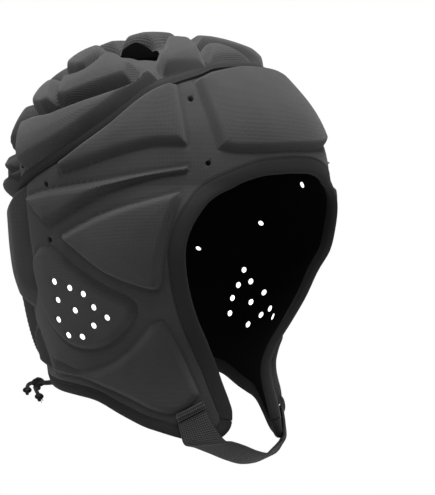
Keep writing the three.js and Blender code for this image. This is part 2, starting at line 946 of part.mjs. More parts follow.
// Crown: a dome with blocks on its outer face and cut-through vents
function crownPanel() {
  const made = net();
  const turns = seamTurns();
  const ring = (share, inset, h) =>
    turns.map((turn) => {
      const spot = crownSpot(turn, share, inset);
      return { id: made.point(crownPoint(spot.x, spot.y, h)), flat: spot };
    });
  const underTape = ring(1, GAP + TAPE_WIDTH, 0);
  const rings = [
    underTape,
    ring(1, GAP / 2, 0),
    ring(1, GAP / 2, -WALL),
    ...CROWN_INNER.map((share) => ring(share, GAP / 2, -WALL)),
  ];
  const count = turns.length;
  for (let i = 0; i < count; i += 1) {
    const m = (i + 1) % count;
    for (let k = 0; k < rings.length - 1; k += 1) {
      made.quad(rings[k][m].id, rings[k][i].id, rings[k + 1][i].id, rings[k + 1][m].id);
    }
  }
  const middle = made.point(crownPoint(0, CROWN_MIDDLE * FULL_FALL, -WALL));
  const inmost = rings[rings.length - 1];
  inmost.forEach((spot, i) => made.faces.push([spot.id, middle, inmost[(i + 1) % count].id]));
  const holes = [];
  for (const [height, sections] of Object.values(CROWN_PADS)) {
    for (const half of bothSides(sections, [FULL_FALL, FULL_FALL])) {
      holes.push(pad(made, half, height, onCrown, crownFlat));
    }
  }
  for (const [height, places] of Object.values(MIDDLE_PADS)) {
    const sections = places.map(([half, back]) => [half, back, -half, back]);
    const scaled = sections.map((row) => row.map((value) => value * FULL_FALL));
    holes.push(pad(made, scaled, height, onCrown, crownFlat));
  }
  fill(made, underTape, holes);
  let crown = solid(body(made));
  for (const corners of [TOP_VENT, REAR_VENT]) {
    crown = crown.subtract(openingCutter(corners, 1));
    crown = crown.subtract(openingCutter(corners, -1));
  }
  return shape(crown);
}

// Flat tape over the crown's edge, all the way round beside the seam
function seamTape() {
  const under = GAP;
  const over = GAP + TAPE_THICK;
  return carried(
    seamTurns().map((turn) => {
      const outer = crownSpot(turn, 1, GAP);
      const inner = crownSpot(turn, 1, GAP + TAPE_WIDTH);
      return [
        crownPoint(outer.x, outer.y, under),
        crownPoint(outer.x, outer.y, over),
        crownPoint(inner.x, inner.y, over),
        crownPoint(inner.x, inner.y, under),
      ];
    }),
    null
  );
}

// Binding folded round the free edge between two rows
function binding(from, to) {
  const stops = [from];
  for (let row = Math.ceil(from + 0.2); row < to - 0.1; row += 1) stops.push(row);
  stops.push(to);
  const deep = -WALL;
  const slot = BINDING_BEND - GAP;
  const profiles = stops.map((row) => {
    const width = bindingWidth(row);
    const outline = [
      // inset from the edge, height over the shell's outer face
      [width, 0],
      [0, 0],
      [-BINDING_BEND, -WALL * 0.25],
      [-BINDING_BEND, -WALL * 0.75],
      [0, deep],
      [width, deep],
      [width, deep + BINDING_CLOTH],
      [slot, deep + BINDING_CLOTH],
      [slot, -BINDING_CLOTH],
      [width, -BINDING_CLOTH],
    ];
    return outline.map(([inset, height]) => {
      const spot = insetFrom(row, inset);
      return sidePoint(spot.turn, spot.fall, height);
    });
  });
  const caps = [
    [0, 1, 9],
    [1, 8, 9],
    [1, 2, 8],
    [2, 3, 8],
    [3, 7, 8],
    [3, 4, 7],
    [4, 6, 7],
    [4, 5, 6],
  ];
  return carried(profiles, caps);
}

// Chin strap: front and rear rail from the right flap under the chin to the left flap
const STRAP_RIGHT = [
  // front rail turn and fall, rear rail turn and fall
  [30, 0.9315, 46, 0.9615],
  [26.5, 0.963, 44.5, 0.983],
  [20, 0.998, 42.5, 1.006],
];
const STRAP_LEFT = [
  [20.5, 0.998, 45, 1.006],
  [25.5, 0.963, 47, 0.983],
  [28, 0.9315, 49, 0.9615],
];
// Free part: share of the way across, then sag and reach of each rail as shares
const STRAP_FREE = [
  // way, front sag, front reach, rear sag, rear reach
  [0.1, 0.22, 0.25, 0.4, 0.05],
  [0.26, 0.5, 0.45, 0.85, 0.1],
  [0.42, 0.68, 0.65, 1.1, 0.1],
  [0.58, 0.72, 0.75, 1.15, 0.1],
  [0.75, 0.62, 0.6, 0.95, 0.1],
  [0.9, 0.3, 0.3, 0.45, 0.05],
];

function strapStations() {
  const lay = STRAP_THICK / 2 + STRAP_LIFT;
  const held = (rows, side) =>
    rows.map(([ft, ff, rt, rf]) => ({
      front: sidePoint(side * ft, ff * FULL_FALL, lay),
      middle: sidePoint((side * (ft + rt)) / 2, ((ff + rf) / 2) * FULL_FALL, lay),
      rear: sidePoint(side * rt, rf * FULL_FALL, lay),
    }));
  const right = held(STRAP_RIGHT, 1);
  const left = held(STRAP_LEFT, -1);
  const from = right[right.length - 1];
  const to = left[0];
  const free = STRAP_FREE.map(([way, frontSag, frontReach, rearSag, rearReach]) => {
    const front = from.front.clone().lerp(to.front, way);
    const rear = from.rear.clone().lerp(to.rear, way);
    front.z -= STRAP_SAG * frontSag;
    front.y -= STRAP_REACH * frontReach;
    rear.z -= STRAP_SAG * rearSag;
    rear.y -= STRAP_REACH * rearReach;
    return { front, middle: front.clone().add(rear).multiplyScalar(0.5), rear };
  });
  return [...right, ...free, ...left];
}

function chinStrap() {
  const stations = strapStations();
  const profiles = stations.map((s, i) => {
    const ahead = stations[Math.min(i + 1, stations.length - 1)].middle;
    const run = ahead.clone().sub(stations[Math.max(i - 1, 0)].middle);
    const wide = s.rear.clone().sub(s.front);
    const out = run.cross(wide).normalize().multiplyScalar(STRAP_THICK / 2);
    const upper = [s.front, s.middle, s.rear].map((p) => p.clone().add(out));
    const under = [s.rear, s.middle, s.front].map((p) => p.clone().sub(out));
    return [...upper, ...under];
  });
  return carried(profiles, [[0, 1, 4], [0, 4, 5], [1, 2, 3], [1, 3, 4]]);
}

// Folded and sewn end of the strap, a flat bar across it on the flap
function strapPatch(rows, side) {
  const end = side > 0 ? rows[0] : rows[rows.length - 1];
  const next = side > 0 ? rows[1] : rows[rows.length - 2];
  const back = (turn, fall, toTurn, toFall, distance) => {
    const here = sidePoint(side * turn, fall * FULL_FALL, 0);
    const there = sidePoint(side * toTurn, toFall * FULL_FALL, 0);
    const share = distance / here.distanceTo(there);
    return [turn - (toTurn - turn) * share, fall - (toFall - fall) * share];
  };
  const corners = [
    back(end[0], end[1], next[0], next[1], GAP + 0.2),
    back(end[2], end[3], next[2], next[3], GAP + 0.2),
    back(end[2], end[3], next[2], next[3], GAP + 0.2 + PATCH_WIDTH),
    back(end[0], end[1], next[0], next[1], GAP + 0.2 + PATCH_WIDTH),
  ];
  const levels = [0, 0.34, 0.67, 1];
  const profiles = levels.map((t) => {
    const near = [0, 1].map((k) => corners[0][k] + (corners[1][k] - corners[0][k]) * t);
    const far = [0, 1].map((k) => corners[3][k] + (corners[2][k] - corners[3][k]) * t);
    const at = (spot, h) => sidePoint(side * spot[0], spot[1] * FULL_FALL, h);
    return [
      at(near, PATCH_LIFT),
      at(near, PATCH_LIFT + PATCH_THICK),
      at(far, PATCH_LIFT + PATCH_THICK),
      at(far, PATCH_LIFT),
    ];
  });
  return carried(profiles, [[0, 1, 2], [0, 2, 3]]);
}

// Round section carried along a curve
function cordAlong(curve, radius, steps, sides) {
  const section = new THREE.Shape();
  for (let k = 0; k < sides; k += 1) {
    const angle = (2 * Math.PI * k) / sides;
    const [x, y] = [radius * Math.cos(angle), radius * Math.sin(angle)];
    if (k === 0) section.moveTo(x, y);
    else section.lineTo(x, y);
  }
  section.closePath();
  return new THREE.ExtrudeGeometry(section, { extrudePath: curve, steps, curveSegments: 1 });
}

function smooth(points) {
  return new THREE.CatmullRomCurve3(points, false, "centripetal");
}

// Where the lock hangs behind the rear split, and where its two strands pass through
const LOCK_PLACE = new THREE.Vector3(0, BACK_REACH * 0.845, -WALL - DOME_HEIGHT - SIDE_DROP * 0.685);
const STRAND_SPREAD = 4.2;

function strandThroughLock(side, share) {
  return LOCK_PLACE.clone().add(
    new THREE.Vector3(-side * STRAND_SPREAD, 0, LOCK_HEIGHT * (0.5 - share))
  );
}

// Lace: from the lock up the right lobe, across and down the left lobe back to the lock
function rearLace() {
  const hole = (side, number, h) => {
    const [turn, fall] = LACE_HOLES[number];
    return sidePoint(side * turn, fall * FULL_FALL, h);
  };
  const outward = (side, number) => [
    hole(side, number, -WALL - LACE_STAND),
    hole(side, number, -WALL / 2),
    hole(side, number, LACE_STAND),
  ];
  const inward = (side, number) => outward(side, number).reverse();
  // Over the split's binding on both sides, rising or sinking where the strands cross
  const crossing = (side, from, to, lift) => {
    const falls = [from, to].map((number) => LACE_HOLES[number][1] * FULL_FALL);
    const over = (share, way) =>
      sidePoint(way * side * OVER_BINDING, falls[0] + (falls[1] - falls[0]) * share, LACE_STAND);
    const [near, far] = [over(0.12, 1), over(0.88, -1)];
    const middle = near.clone().lerp(far, 0.5);
    middle.y += lift;
    return [near, middle, far];
  };
  const rise = (side) => {
    const top = strandThroughLock(side, 0);
    const above = top.clone().add(new THREE.Vector3(-side * 1.5, 0, 6));
    return [strandThroughLock(side, 0.4), top, above];
  };
  return cordAlong(
    smooth([
      ...rise(1),
      ...inward(1, 2),
      ...outward(1, 1),
      ...crossing(1, 1, 0, CROSS_LIFT),
      ...inward(-1, 0),
      ...outward(1, 0),
      ...crossing(1, 0, 1, -CROSS_LIFT),
      ...inward(-1, 1),
      ...outward(-1, 2),
      ...rise(-1).reverse(),
    ]),
    LACE_RADIUS,
    LACE_STEPS,
    8
  );
}

// Free ends of the lace behind the lock, mm from the middle of the lock
const TAIL_ROUTES = [
  [
    [-4.2, 0, -0.6],
    [-4.2, 0.1, -5.4],
    [-3.6, 3, -9.5],
    [-2.6, 8, -12],
    [-1.7, 14, -13],
    [-1.5, 20, -13.2],
    [-1.5, 25, -13.6],
    [0.6, 30, -14.6],
    [4.5, 35, -16],
    [9, 39.5, -17.8],
    [13.5, 43.5, -19.5],
  ],
  [
    [4.2, 0, -0.6],
    [4.2, 0.1, -5.4],
    [3.8, 3.2, -9.8],
    [2.9, 8.4, -12.6],
    [2, 14.2, -13.6],
    [1.6, 20, -14],
    [1.9, 25, -14.8],
    [5, 29.4, -16.6],
    [9.6, 33, -18.6],
    [14.6, 36, -21],
    [19, 38.6, -23.4],
  ],
];
const KNOT_AT = 5.5;

function tailCurve(number) {
  return smooth(
    TAIL_ROUTES[number].map(([x, y, z]) => LOCK_PLACE.clone().add(new THREE.Vector3(x, y, z)))
  );
}

function laceTail(number) {
  return cordAlong(tailCurve(number), LACE_RADIUS, TAIL_STEPS, 8);
}

// Sliding lock: an oval block with two holes for the strands
function cordLock() {
  const half = LOCK_LENGTH / 2 - LOCK_HEIGHT / 2;
  const outline = new THREE.Shape();
  outline.absarc(half, 0, LOCK_HEIGHT / 2, -Math.PI / 2, Math.PI / 2, false);
  outline.absarc(-half, 0, LOCK_HEIGHT / 2, Math.PI / 2, (3 * Math.PI) / 2, false);
  outline.closePath();
  const block = new THREE.ExtrudeGeometry(outline, {
    depth: LOCK_DEPTH - 2,
    bevelEnabled: true,
    bevelThickness: 1,
    bevelSize: 0.8,
    bevelOffset: -0.8,
    bevelSegments: 1,
    curveSegments: 4,
  });
  block.translate(0, 0, -(LOCK_DEPTH - 2) / 2);
  block.rotateX(Math.PI / 2);
  block.translate(LOCK_PLACE.x, LOCK_PLACE.y, LOCK_PLACE.z);
  let lock = solid(block);
  for (const side of [1, -1]) {
    const hole = new THREE.CylinderGeometry(LACE_RADIUS + 0.4, LACE_RADIUS + 0.4, 2 * LOCK_HEIGHT, 8);
    hole.rotateX(Math.PI / 2);
    hole.translate(LOCK_PLACE.x - side * STRAND_SPREAD, LOCK_PLACE.y, LOCK_PLACE.z);
    lock = lock.subtract(solid(hole));
  }
  return shape(lock);
}

// Knot that ties the two tails: a lump with the strands running through it
function laceKnot() {
  const [first, second] = [tailCurve(0), tailCurve(1)];
  const share = KNOT_AT / (TAIL_ROUTES[0].length - 1);
  const middle = first.getPoint(share).add(second.getPoint(share)).multiplyScalar(0.5);
  const lump = new THREE.SphereGeometry(KNOT_RADIUS, 10, 6);
  lump.scale(1.05, 1.25, 1);
  lump.translate(middle.x, middle.y, middle.z);
  let knot = solid(lump);
  for (const number of [0, 1]) {
    knot = knot.subtract(solid(cordAlong(tailCurve(number), LACE_RADIUS + GAP, TAIL_STEPS, 8)));
  }
  return shape(knot);
}

// Knotted tip at the end of a tail
function laceTip(number) {
  const curve = tailCurve(number);
  const end = curve.getPoint(1);
  const way = curve.getTangent(1).normalize();
  const profile = [
    [0, 0],
    [0.6, 0],
    [1, 0.35],
    [0.95, 1.1],
    [0.7, 1.7],
    [0.95, 2.4],
    [0.5, 2.7],
    [0, 2.7],
  ].map(([r, y]) => new THREE.Vector2(r * TIP_RADIUS, y * TIP_RADIUS));
  const tip = new THREE.LatheGeometry(profile, 8);
  tip.applyQuaternion(
    new THREE.Quaternion().setFromUnitVectors(new THREE.Vector3(0, 1, 0), way)
  );
  const foot = end.addScaledVector(way, GAP);
  tip.translate(foot.x, foot.y, foot.z);
  return tip;
}

// Materials
const cloth = new THREE.MeshStandardMaterial({ color: 0x3c3c3e, roughness: 0.78, metalness: 0 });
const crownCloth = new THREE.MeshStandardMaterial({ color: 0x37373a, roughness: 0.74, metalness: 0 });
const tapeCloth = new THREE.MeshStandardMaterial({ color: 0x262628, roughness: 0.85, metalness: 0 });
const edgeCloth = new THREE.MeshStandardMaterial({ color: 0x242426, roughness: 0.85, metalness: 0 });
const webbing = new THREE.MeshStandardMaterial({ color: 0x2e2e30, roughness: 0.8, metalness: 0 });
const laceCord = new THREE.MeshStandardMaterial({ color: 0x161618, roughness: 0.7, metalness: 0 });
const lockPlastic = new THREE.MeshStandardMaterial({ color: 0x1c1c1e, roughness: 0.45, metalness: 0 });

const cap = new THREE.Group();

function piece(name, geometry, material) {
  const mesh = new THREE.Mesh(geometry, material);
  mesh.name = name;
  cap.add(mesh);
}

const lastRow = EDGE.length - 1;
const seamGap = 0.04;
piece("crown_panel", crownPanel(), crownCloth);
piece("side_panel", sidePanel(), cloth);
piece("crown_seam_tape", seamTape(), tapeCloth);
piece("face_binding", binding(-CHIN_ROW + seamGap, CHIN_ROW - seamGap), edgeCloth);
piece("hem_binding_right", binding(CHIN_ROW + seamGap, lastRow), edgeCloth);
piece("hem_binding_left", binding(-lastRow, -CHIN_ROW - seamGap), edgeCloth);
piece("chin_strap", chinStrap(), webbing);
piece("chin_strap_patch", strapPatch(STRAP_RIGHT, 1), webbing);
piece("chin_strap_tab", strapPatch(STRAP_LEFT, -1), webbing);
piece("rear_lace", rearLace(), laceCord);
piece("cord_lock", cordLock(), lockPlastic);
piece("lace_tail_1", laceTail(0), laceCord);
piece("lace_tail_2", laceTail(1), laceCord);
piece("lace_knot", laceKnot(), laceCord);
piece("lace_tip_1", laceTip(0), laceCord);
piece("lace_tip_2", laceTip(1), laceCord);

export default cap;
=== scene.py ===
import math

import bpy
import numpy as np
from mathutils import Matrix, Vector


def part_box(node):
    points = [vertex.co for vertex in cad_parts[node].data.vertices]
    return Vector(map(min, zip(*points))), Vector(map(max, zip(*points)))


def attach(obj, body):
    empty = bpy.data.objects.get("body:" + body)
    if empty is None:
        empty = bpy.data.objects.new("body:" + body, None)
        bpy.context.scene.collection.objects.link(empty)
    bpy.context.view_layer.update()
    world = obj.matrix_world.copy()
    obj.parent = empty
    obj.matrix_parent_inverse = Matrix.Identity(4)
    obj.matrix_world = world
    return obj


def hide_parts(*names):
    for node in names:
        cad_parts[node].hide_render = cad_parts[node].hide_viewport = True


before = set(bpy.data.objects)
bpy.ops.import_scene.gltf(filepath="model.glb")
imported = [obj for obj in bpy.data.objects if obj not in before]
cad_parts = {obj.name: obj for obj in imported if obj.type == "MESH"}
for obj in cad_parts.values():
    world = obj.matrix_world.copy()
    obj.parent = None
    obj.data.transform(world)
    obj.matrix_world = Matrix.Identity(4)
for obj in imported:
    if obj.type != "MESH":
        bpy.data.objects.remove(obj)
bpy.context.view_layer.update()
MM = 0.001

# Head form, in millimetres to the outer face of the bare shell
WALL = 4.0
DOME_HEIGHT = 82.0
SIDE_DROP = 160.0
REACHES = (97.0, 98.0, 83.0, 95.0, 105.0)
RING_TURNS = (-40, 0, 40, 90, 140, 180, 220)
LEFT_TURN = 10.0
LEFT_LIFT = 12.0
LEFT_SWING = 10.0
WIDEST_FALL = DOME_HEIGHT * math.pi / 2
FULL_FALL = WIDEST_FALL + SIDE_DROP
WIDEST_LEVEL = WALL - DOME_HEIGHT

# Level sections: drop, then reach at the front, temple, side, rear side and back
SECTIONS = np.array([
    [0.0, 1.0, 1.0, 1.0, 1.0, 1.0],
    [0.08, 1.02, 1.05, 1.0, 1.01, 1.0],
    [0.18, 1.01, 1.06, 0.99, 1.0, 0.99],
    [0.275, 0.95, 1.03, 0.965, 0.985, 0.97],
    [0.36, 0.865, 0.94, 0.935, 0.963, 0.943],
    [0.455, 0.785, 0.857, 0.885, 0.915, 0.905],
    [0.555, 0.72, 0.755, 0.825, 0.884, 0.867],
    [0.65, 0.66, 0.663, 0.765, 0.847, 0.838],
    [0.745, 0.64, 0.622, 0.71, 0.805, 0.8],
    [0.86, 0.66, 0.612, 0.657, 0.747, 0.752],
    [1.0, 0.69, 0.612, 0.6, 0.695, 0.705],
])

# Seam between crown and side panel: turn, fall as a share of FULL_FALL
SEAM = np.array([
    [0, 0.1645], [22.5, 0.17], [32, 0.187], [48, 0.2147], [61.5, 0.2441], [70.5, 0.2822],
    [80, 0.3203], [94, 0.3653], [109, 0.4068], [127, 0.4484], [150, 0.5055], [165, 0.53],
    [180, 0.5367],
])

# Free edge: seam turn, edge turn, edge fall
EDGE = np.array([
    [0, 0, 0.4207], [15, 15, 0.4259], [26, 28, 0.4484], [33, 35.5, 0.4692], [39, 40, 0.4986],
    [44, 43.5, 0.535], [49, 45.5, 0.5783], [54, 45, 0.6319], [59, 42, 0.696], [63, 37, 0.7497],
    [67, 29.5, 0.8], [70, 24, 0.8362], [73, 19.5, 0.876], [76, 15.5, 0.9159], [78, 14, 0.9418],
    [80.5, 16, 0.973], [83, 23, 0.9938], [86, 33, 0.999], [89, 44, 0.992], [93, 57.5, 0.98],
    [98, 70.5, 0.9678], [106, 88.5, 0.9436], [114, 104, 0.9176], [123, 118, 0.9072],
    [136, 136, 0.8985], [146, 148, 0.89], [152.5, 157, 0.869], [157, 163.5, 0.831],
    [160, 167, 0.7687], [162, 168.5, 0.658], [163.7, 169, 0.5713], [165, 169, 0.5385],
])
EDGE_ROWS = np.arange(len(EDGE))
LAST_ROW = len(EDGE) - 1
CHIN_ROW = 14.5
FACE_BINDING = 10.0
HEM_BINDING = 7.0

# Pads of the side panel: height, then sections of two edge points, each a turn and a fall;
# the brow pad's sections stop at the middle, and are mirrored there
SIDE_PADS = {
    "brow": (6.0, [
        [38, 0.203, 32.5, 0.369], [28, 0.18, 26, 0.377], [14, 0.168, 13, 0.378],
        [0, 0.164, 0, 0.377],
    ]),
    "temple": (6.5, [
        [47, 0.202, 43.5, 0.362], [58, 0.225, 55, 0.362], [70, 0.268, 66, 0.374],
        [80, 0.308, 77, 0.39], [94, 0.353, 90, 0.409], [107, 0.402, 104, 0.427],
    ]),
    "rib": (7.0, [
        [43.5, 0.4025, 43.5, 0.4178], [59, 0.4172, 60, 0.4362], [85.5, 0.4414, 85.5, 0.4812],
        [107, 0.457, 102, 0.519], [129, 0.478, 113, 0.54],
    ]),
    "cheek": (7.0, [
        [46.5, 0.457, 46.2, 0.471], [52, 0.4656, 50.5, 0.5436], [60, 0.4778, 53, 0.6094],
        [73.5, 0.4985, 55, 0.6682], [85, 0.5176, 68, 0.6595], [95, 0.5366, 84, 0.63],
        [106, 0.5591, 104, 0.5713],
    ]),
    "rear": (8.0, [
        [147.5, 0.487, 130, 0.446], [148.5, 0.5955, 127.5, 0.5955],
        [148.5, 0.6647, 128.5, 0.6716], [146.5, 0.7271, 138, 0.7201],
    ]),
    "lobe": (8.0, [
        [160.5, 0.52, 151.5, 0.5], [161, 0.6405, 151.5, 0.6405],
        [159.5, 0.7374, 150, 0.7478], [155, 0.81, 148, 0.824], [150, 0.843, 146.5, 0.848],
    ]),
    "lower rear": (5.5, [
        [146, 0.7548, 140, 0.7652], [145, 0.8032, 136, 0.8067], [143.5, 0.8517, 134, 0.8552],
    ]),
}

EAR_PAD = 5.0
EAR_SECTIONS = [
    [125.5, 0.6163, 125.8, 0.7029], [121, 0.5886, 122.5, 0.7513], [112, 0.5851, 113, 0.7963],
    [98.5, 0.6284, 99, 0.8067], [83, 0.6647, 84, 0.7894], [71, 0.6872, 71, 0.7496],
    [66, 0.7028, 66.5, 0.7236],
]
LEFT_EAR_TURN = 9.0
LEFT_EAR_FALL = 0.03
JAW_PAD = 4.5
RIGHT_JAW = [
    [130, 0.831, 130, 0.8625], [120, 0.843, 119, 0.866], [110, 0.8552, 108, 0.8725],
    [97, 0.8466, 95, 0.8898], [81, 0.8206, 77, 0.914], [67, 0.7773, 58, 0.9395],
    [60, 0.746, 43, 0.9395], [53.5, 0.738, 33, 0.9],
]
LEFT_JAW = [
    [130, 0.831, 130, 0.8625], [120, 0.843, 119, 0.866], [108, 0.8575, 106, 0.8745],
    [92, 0.862, 92, 0.8945], [76, 0.845, 74, 0.917], [63, 0.804, 56, 0.9395],
    [55, 0.78, 43, 0.9395], [49.5, 0.772, 33, 0.9],
]

# Pads of the crown: height, then sections of two edge points, each across and back
CROWN_PADS = {
    "front side": (10.5, [
        [0.146, -0.108, 0.079, -0.1475], [0.1195, -0.0693, 0.0519, -0.1143],
        [0.0727, -0.0346, 0.026, -0.0796], [0.0312, -0.0121, 0.0087, -0.0519],
    ]),
    "top side": (12.5, [
        [0.0502, 0.1091, 0.0606, 0.1506], [0.0831, 0.0866, 0.09, 0.1731],
        [0.1212, 0.071, 0.1281, 0.1541], [0.1697, 0.0866, 0.1593, 0.1143],
    ]),
    "middle side": (12.0, [
        [0.1645, -0.045, 0.2078, -0.0641], [0.1541, -0.0069, 0.2389, 0.0035],
        [0.1281, 0.0537, 0.2545, 0.0589], [0.1783, 0.0779, 0.258, 0.0935],
        [0.1697, 0.1385, 0.2476, 0.1264],
    ]),
    "rear upper": (10.5, [
        [0.1108, 0.2216, 0.1091, 0.1974], [0.142, 0.2441, 0.161, 0.1558],
        [0.1939, 0.2233, 0.2112, 0.1437], [0.232, 0.18, 0.2459, 0.1385],
    ]),
    "seam long": (10.5, [
        [0.1593, -0.0796, 0.1697, -0.1039], [0.2147, -0.0727, 0.2285, -0.0841],
        [0.2476, -0.0208, 0.2857, -0.045], [0.2666, 0.0485, 0.3331, 0.027],
        [0.2701, 0.1073, 0.3525, 0.0945], [0.2614, 0.1524, 0.3532, 0.1662],
        [0.2147, 0.2389, 0.3352, 0.2458], [0.18, 0.2649, 0.3134, 0.2718],
    ]),
    "rear strip": (10.5, [
        [0.1108, 0.2632, 0.097, 0.3082], [0.1489, 0.284, 0.135, 0.3359],
        [0.1766, 0.3151, 0.1627, 0.3567],
    ]),
    "rear round": (10.0, [
        [0.1974, 0.3272, 0.1766, 0.3601], [0.2181, 0.3359, 0.2008, 0.3757],
        [0.2355, 0.3497, 0.2216, 0.3729],
    ]),
    "rear low": (10.5, [
        [0.2735, 0.3324, 0.2822, 0.3463], [0.2233, 0.3878, 0.2372, 0.4086],
        [0.1593, 0.4086, 0.1714, 0.4598],
    ]),
}
# Pads on the crown's middle line: height, then half width and place of each section
MIDDLE_PADS = {
    "front": (9.5, [[0.06, -0.138], [0.0381, -0.1056], [0.0121, -0.0796]]),
    "top": (11.5, [[0.041, 0.0173], [0.046, 0.0485], [0.043, 0.0796]]),
    "behind top": (12.0, [[0.0294, 0.097], [0.0398, 0.1316], [0.0381, 0.1627]]),
    "upper rear": (10.5, [
        [0.0398, 0.1835], [0.0796, 0.2077], [0.09, 0.2424], [0.0831, 0.2666],
    ]),
    "rear": (11.0, [[0.0727, 0.2874], [0.0762, 0.3186], [0.1143, 0.3497], [0.1246, 0.3705]]),
    "low rear": (11.0, [[0.1385, 0.3913], [0.1385, 0.4294], [0.142, 0.4744]]),
}
TOP_VENT = [
    [0.0468, 0.0935], [0.09, 0.0554], [0.116, 0.0], [0.1073, -0.0502], [0.0693, -0.026],
    [0.0485, 0.0], [0.0433, 0.0485],
]
REAR_VENT = [
    [0.165, 0.272], [0.24, 0.266], [0.318, 0.27], [0.29, 0.305], [0.2, 0.34],
]
# Pads of the side panel whose edges run out in a long slope
SOFT_FLANK = {"rear": 12.0, "lobe": 9.0, "lower rear": 9.0}
SIDE_FLANK = 5.2
CROWN_FLANK = 6.5
SIDE_FULL = 20.0  # distance in from a pad's edge where it is at its full height
CROWN_FULL = 16.0
CROWN_SPREAD = 2.4  # the crown's pads swell past their outlines by this
SIDE_WAVER = 0.2
CROWN_WAVER = 0.4
SEAM_LIFT = 2.0
SEAM_LIFT_WIDTH = 13.0
VENT_FADE = 8.0  # the outer rims of the crown's vents lie low over this width
VENT_FADE_SHARE = 0.8
BROW_SLOPE = 0.5  # share of their height that the front pads lose towards the seam
# Round vents, turn and fall: first those over the ear, then the single ones
EAR_VENT_COUNT = 11
RIGHT_VENTS = [
    [110, 0.6561], [101.5, 0.6682], [94, 0.6803], [110.5, 0.6959], [101, 0.7167], [89, 0.708],
    [82, 0.7288], [113, 0.7392], [91.5, 0.7478], [109, 0.7721], [100.5, 0.7738],
    [41, 0.2493], [36.5, 0.3982], [114, 0.4518], [113, 0.5713],
]
LEFT_VENTS = [
    [101.8, 0.6951], [96.4, 0.7202], [103.8, 0.7289], [86.2, 0.7436], [106.2, 0.7574],
    [93.1, 0.7652], [77.2, 0.7775], [106.2, 0.7905], [82.6, 0.7921], [69.2, 0.7855],
    [90.5, 0.8135], [41, 0.2493], [36.5, 0.3982], [62.4, 0.4579], [86.4, 0.5531],
    [125.1, 0.6388],
]
LACE_HOLES = [[163, 0.5575], [162.6, 0.6682], [161.5, 0.7652]]
VENT_RADIUS = 1.8
LACE_HOLE_RADIUS = 2.15
HOLE_LIP = 0.45
HOLE_SINK = 0.55

# Fineness of the meshes, in millimetres or counts
TURN_SCALE = 1.6  # about a millimetre's length in one degree of turn, for outlines and maps
COLUMN_STEP = 1.15
ROW_COUNT = 150
CROWN_CELL = 0.9
BINDING_STEPS = 12
BINDING_JOIN = 0.03  # rows between two bindings' ends at the chin
TAPE_STEPS = 520
YARN_RADIUS = 0.3


def through(stations, values, x):
    """Cubic between table rows, each slope being that between the two neighbouring rows."""
    s, v = np.asarray(stations, float), np.asarray(values, float)
    slope = np.empty_like(v)
    slope[1:-1] = ((v[2:] - v[:-2]).T / (s[2:] - s[:-2])).T
    slope[0], slope[-1] = (v[1] - v[0]) / (s[1] - s[0]), (v[-1] - v[-2]) / (s[-1] - s[-2])
    i = np.clip(np.searchsorted(s, x) - 1, 0, len(s) - 2)
    width = s[i + 1] - s[i]
    t = np.clip((x - s[i]) / width, 0, 1)
    if v.ndim == 2:
        pick = lambda table, row: np.take_along_axis(table, row[None], 0)[0]
    else:
        pick = lambda table, row: table[row]
    return ((2 * t**3 - 3 * t**2 + 1) * pick(v, i)
            + (t**3 - 2 * t**2 + t) * width * pick(slope, i)
            + (3 * t**2 - 2 * t**3) * pick(v, i + 1)
            + (t**3 - t**2) * width * pick(slope, i + 1))


def ease(low, high, x):
    """Smooth step from 0 at low to 1 at high: t squared times (3 - 2 t)."""
    t = np.clip((x - low) / (high - low), 0, 1)
    return t * t * (3 - 2 * t)


def reach_at(turn, drop):
    """Distance of the shell from the middle axis, through the five reaches of a level."""
    share = np.clip(drop / SIDE_DROP, 0, 1)
    ring = [size * through(SECTIONS[:, 0], SECTIONS[:, k + 1], share)
            for k, size in enumerate(REACHES)]
    return through(RING_TURNS, np.stack([ring[1], *ring, ring[3]]), np.abs(turn))


def shell_point(turn, fall):
    """Outer face of the bare shell: a dome of round height over level sections."""
    around = (turn + 540) % 360 - 180
    left = around < 0
    side = ease(45, 80, -around) * (1 - ease(130, 165, -around))
    low = ease(0.52, 0.7, fall / FULL_FALL) * side * left
    turned = around + LEFT_TURN * low
    down = fall - LEFT_LIFT * low
    swing = LEFT_SWING * left * ease(0.83, 0.97, fall / FULL_FALL)
    swing = swing * (1 - ease(45, 110, -around))
    angle = np.minimum(down, WIDEST_FALL) / DOME_HEIGHT
    drop = np.maximum(0, down - WIDEST_FALL)
    reach = reach_at(turned, drop) * np.sin(angle)
    level = WIDEST_LEVEL + DOME_HEIGHT * np.cos(angle) - drop
    turned = np.radians(turned)
    return np.stack([-reach * np.sin(turned), -reach * np.cos(turned) - swing, level], -1)


def crown_point(across, back, height):
    """Point at a height over the shell, along the normal from two small steps each way."""
    across, back, height = np.broadcast_arrays(
        np.asarray(across, float), np.asarray(back, float), np.asarray(height, float))
    shape = across.shape
    across, back, height = across.ravel(), back.ravel(), height.ravel()

    def at(a, b):
        return shell_point(np.degrees(np.arctan2(a, -b)), np.hypot(a, b))

    normal = np.cross(at(across, back + 1) - at(across, back - 1),
                      at(across + 1, back) - at(across - 1, back))
    normal /= np.linalg.norm(normal, axis=-1, keepdims=True)
    return (at(across, back) + normal * height[:, None]).reshape(shape + (3,))


def side_point(turn, fall, height):
    """The same, from a turn round the head and a fall from its top."""
    angle = np.radians(turn)
    return crown_point(fall * np.sin(angle), -fall * np.cos(angle), height)


def seam_fall(turn):
    """Fall of the seam at a turn, alike on both sides."""
    around = np.abs((np.asarray(turn, float) + 540) % 360 - 180)
    turns = [-SEAM[1, 0], *SEAM[:, 0], 360 - SEAM[-2, 0]]
    falls = [SEAM[1, 1], *SEAM[:, 1], SEAM[-2, 1]]
    return FULL_FALL * through(turns, falls, around)


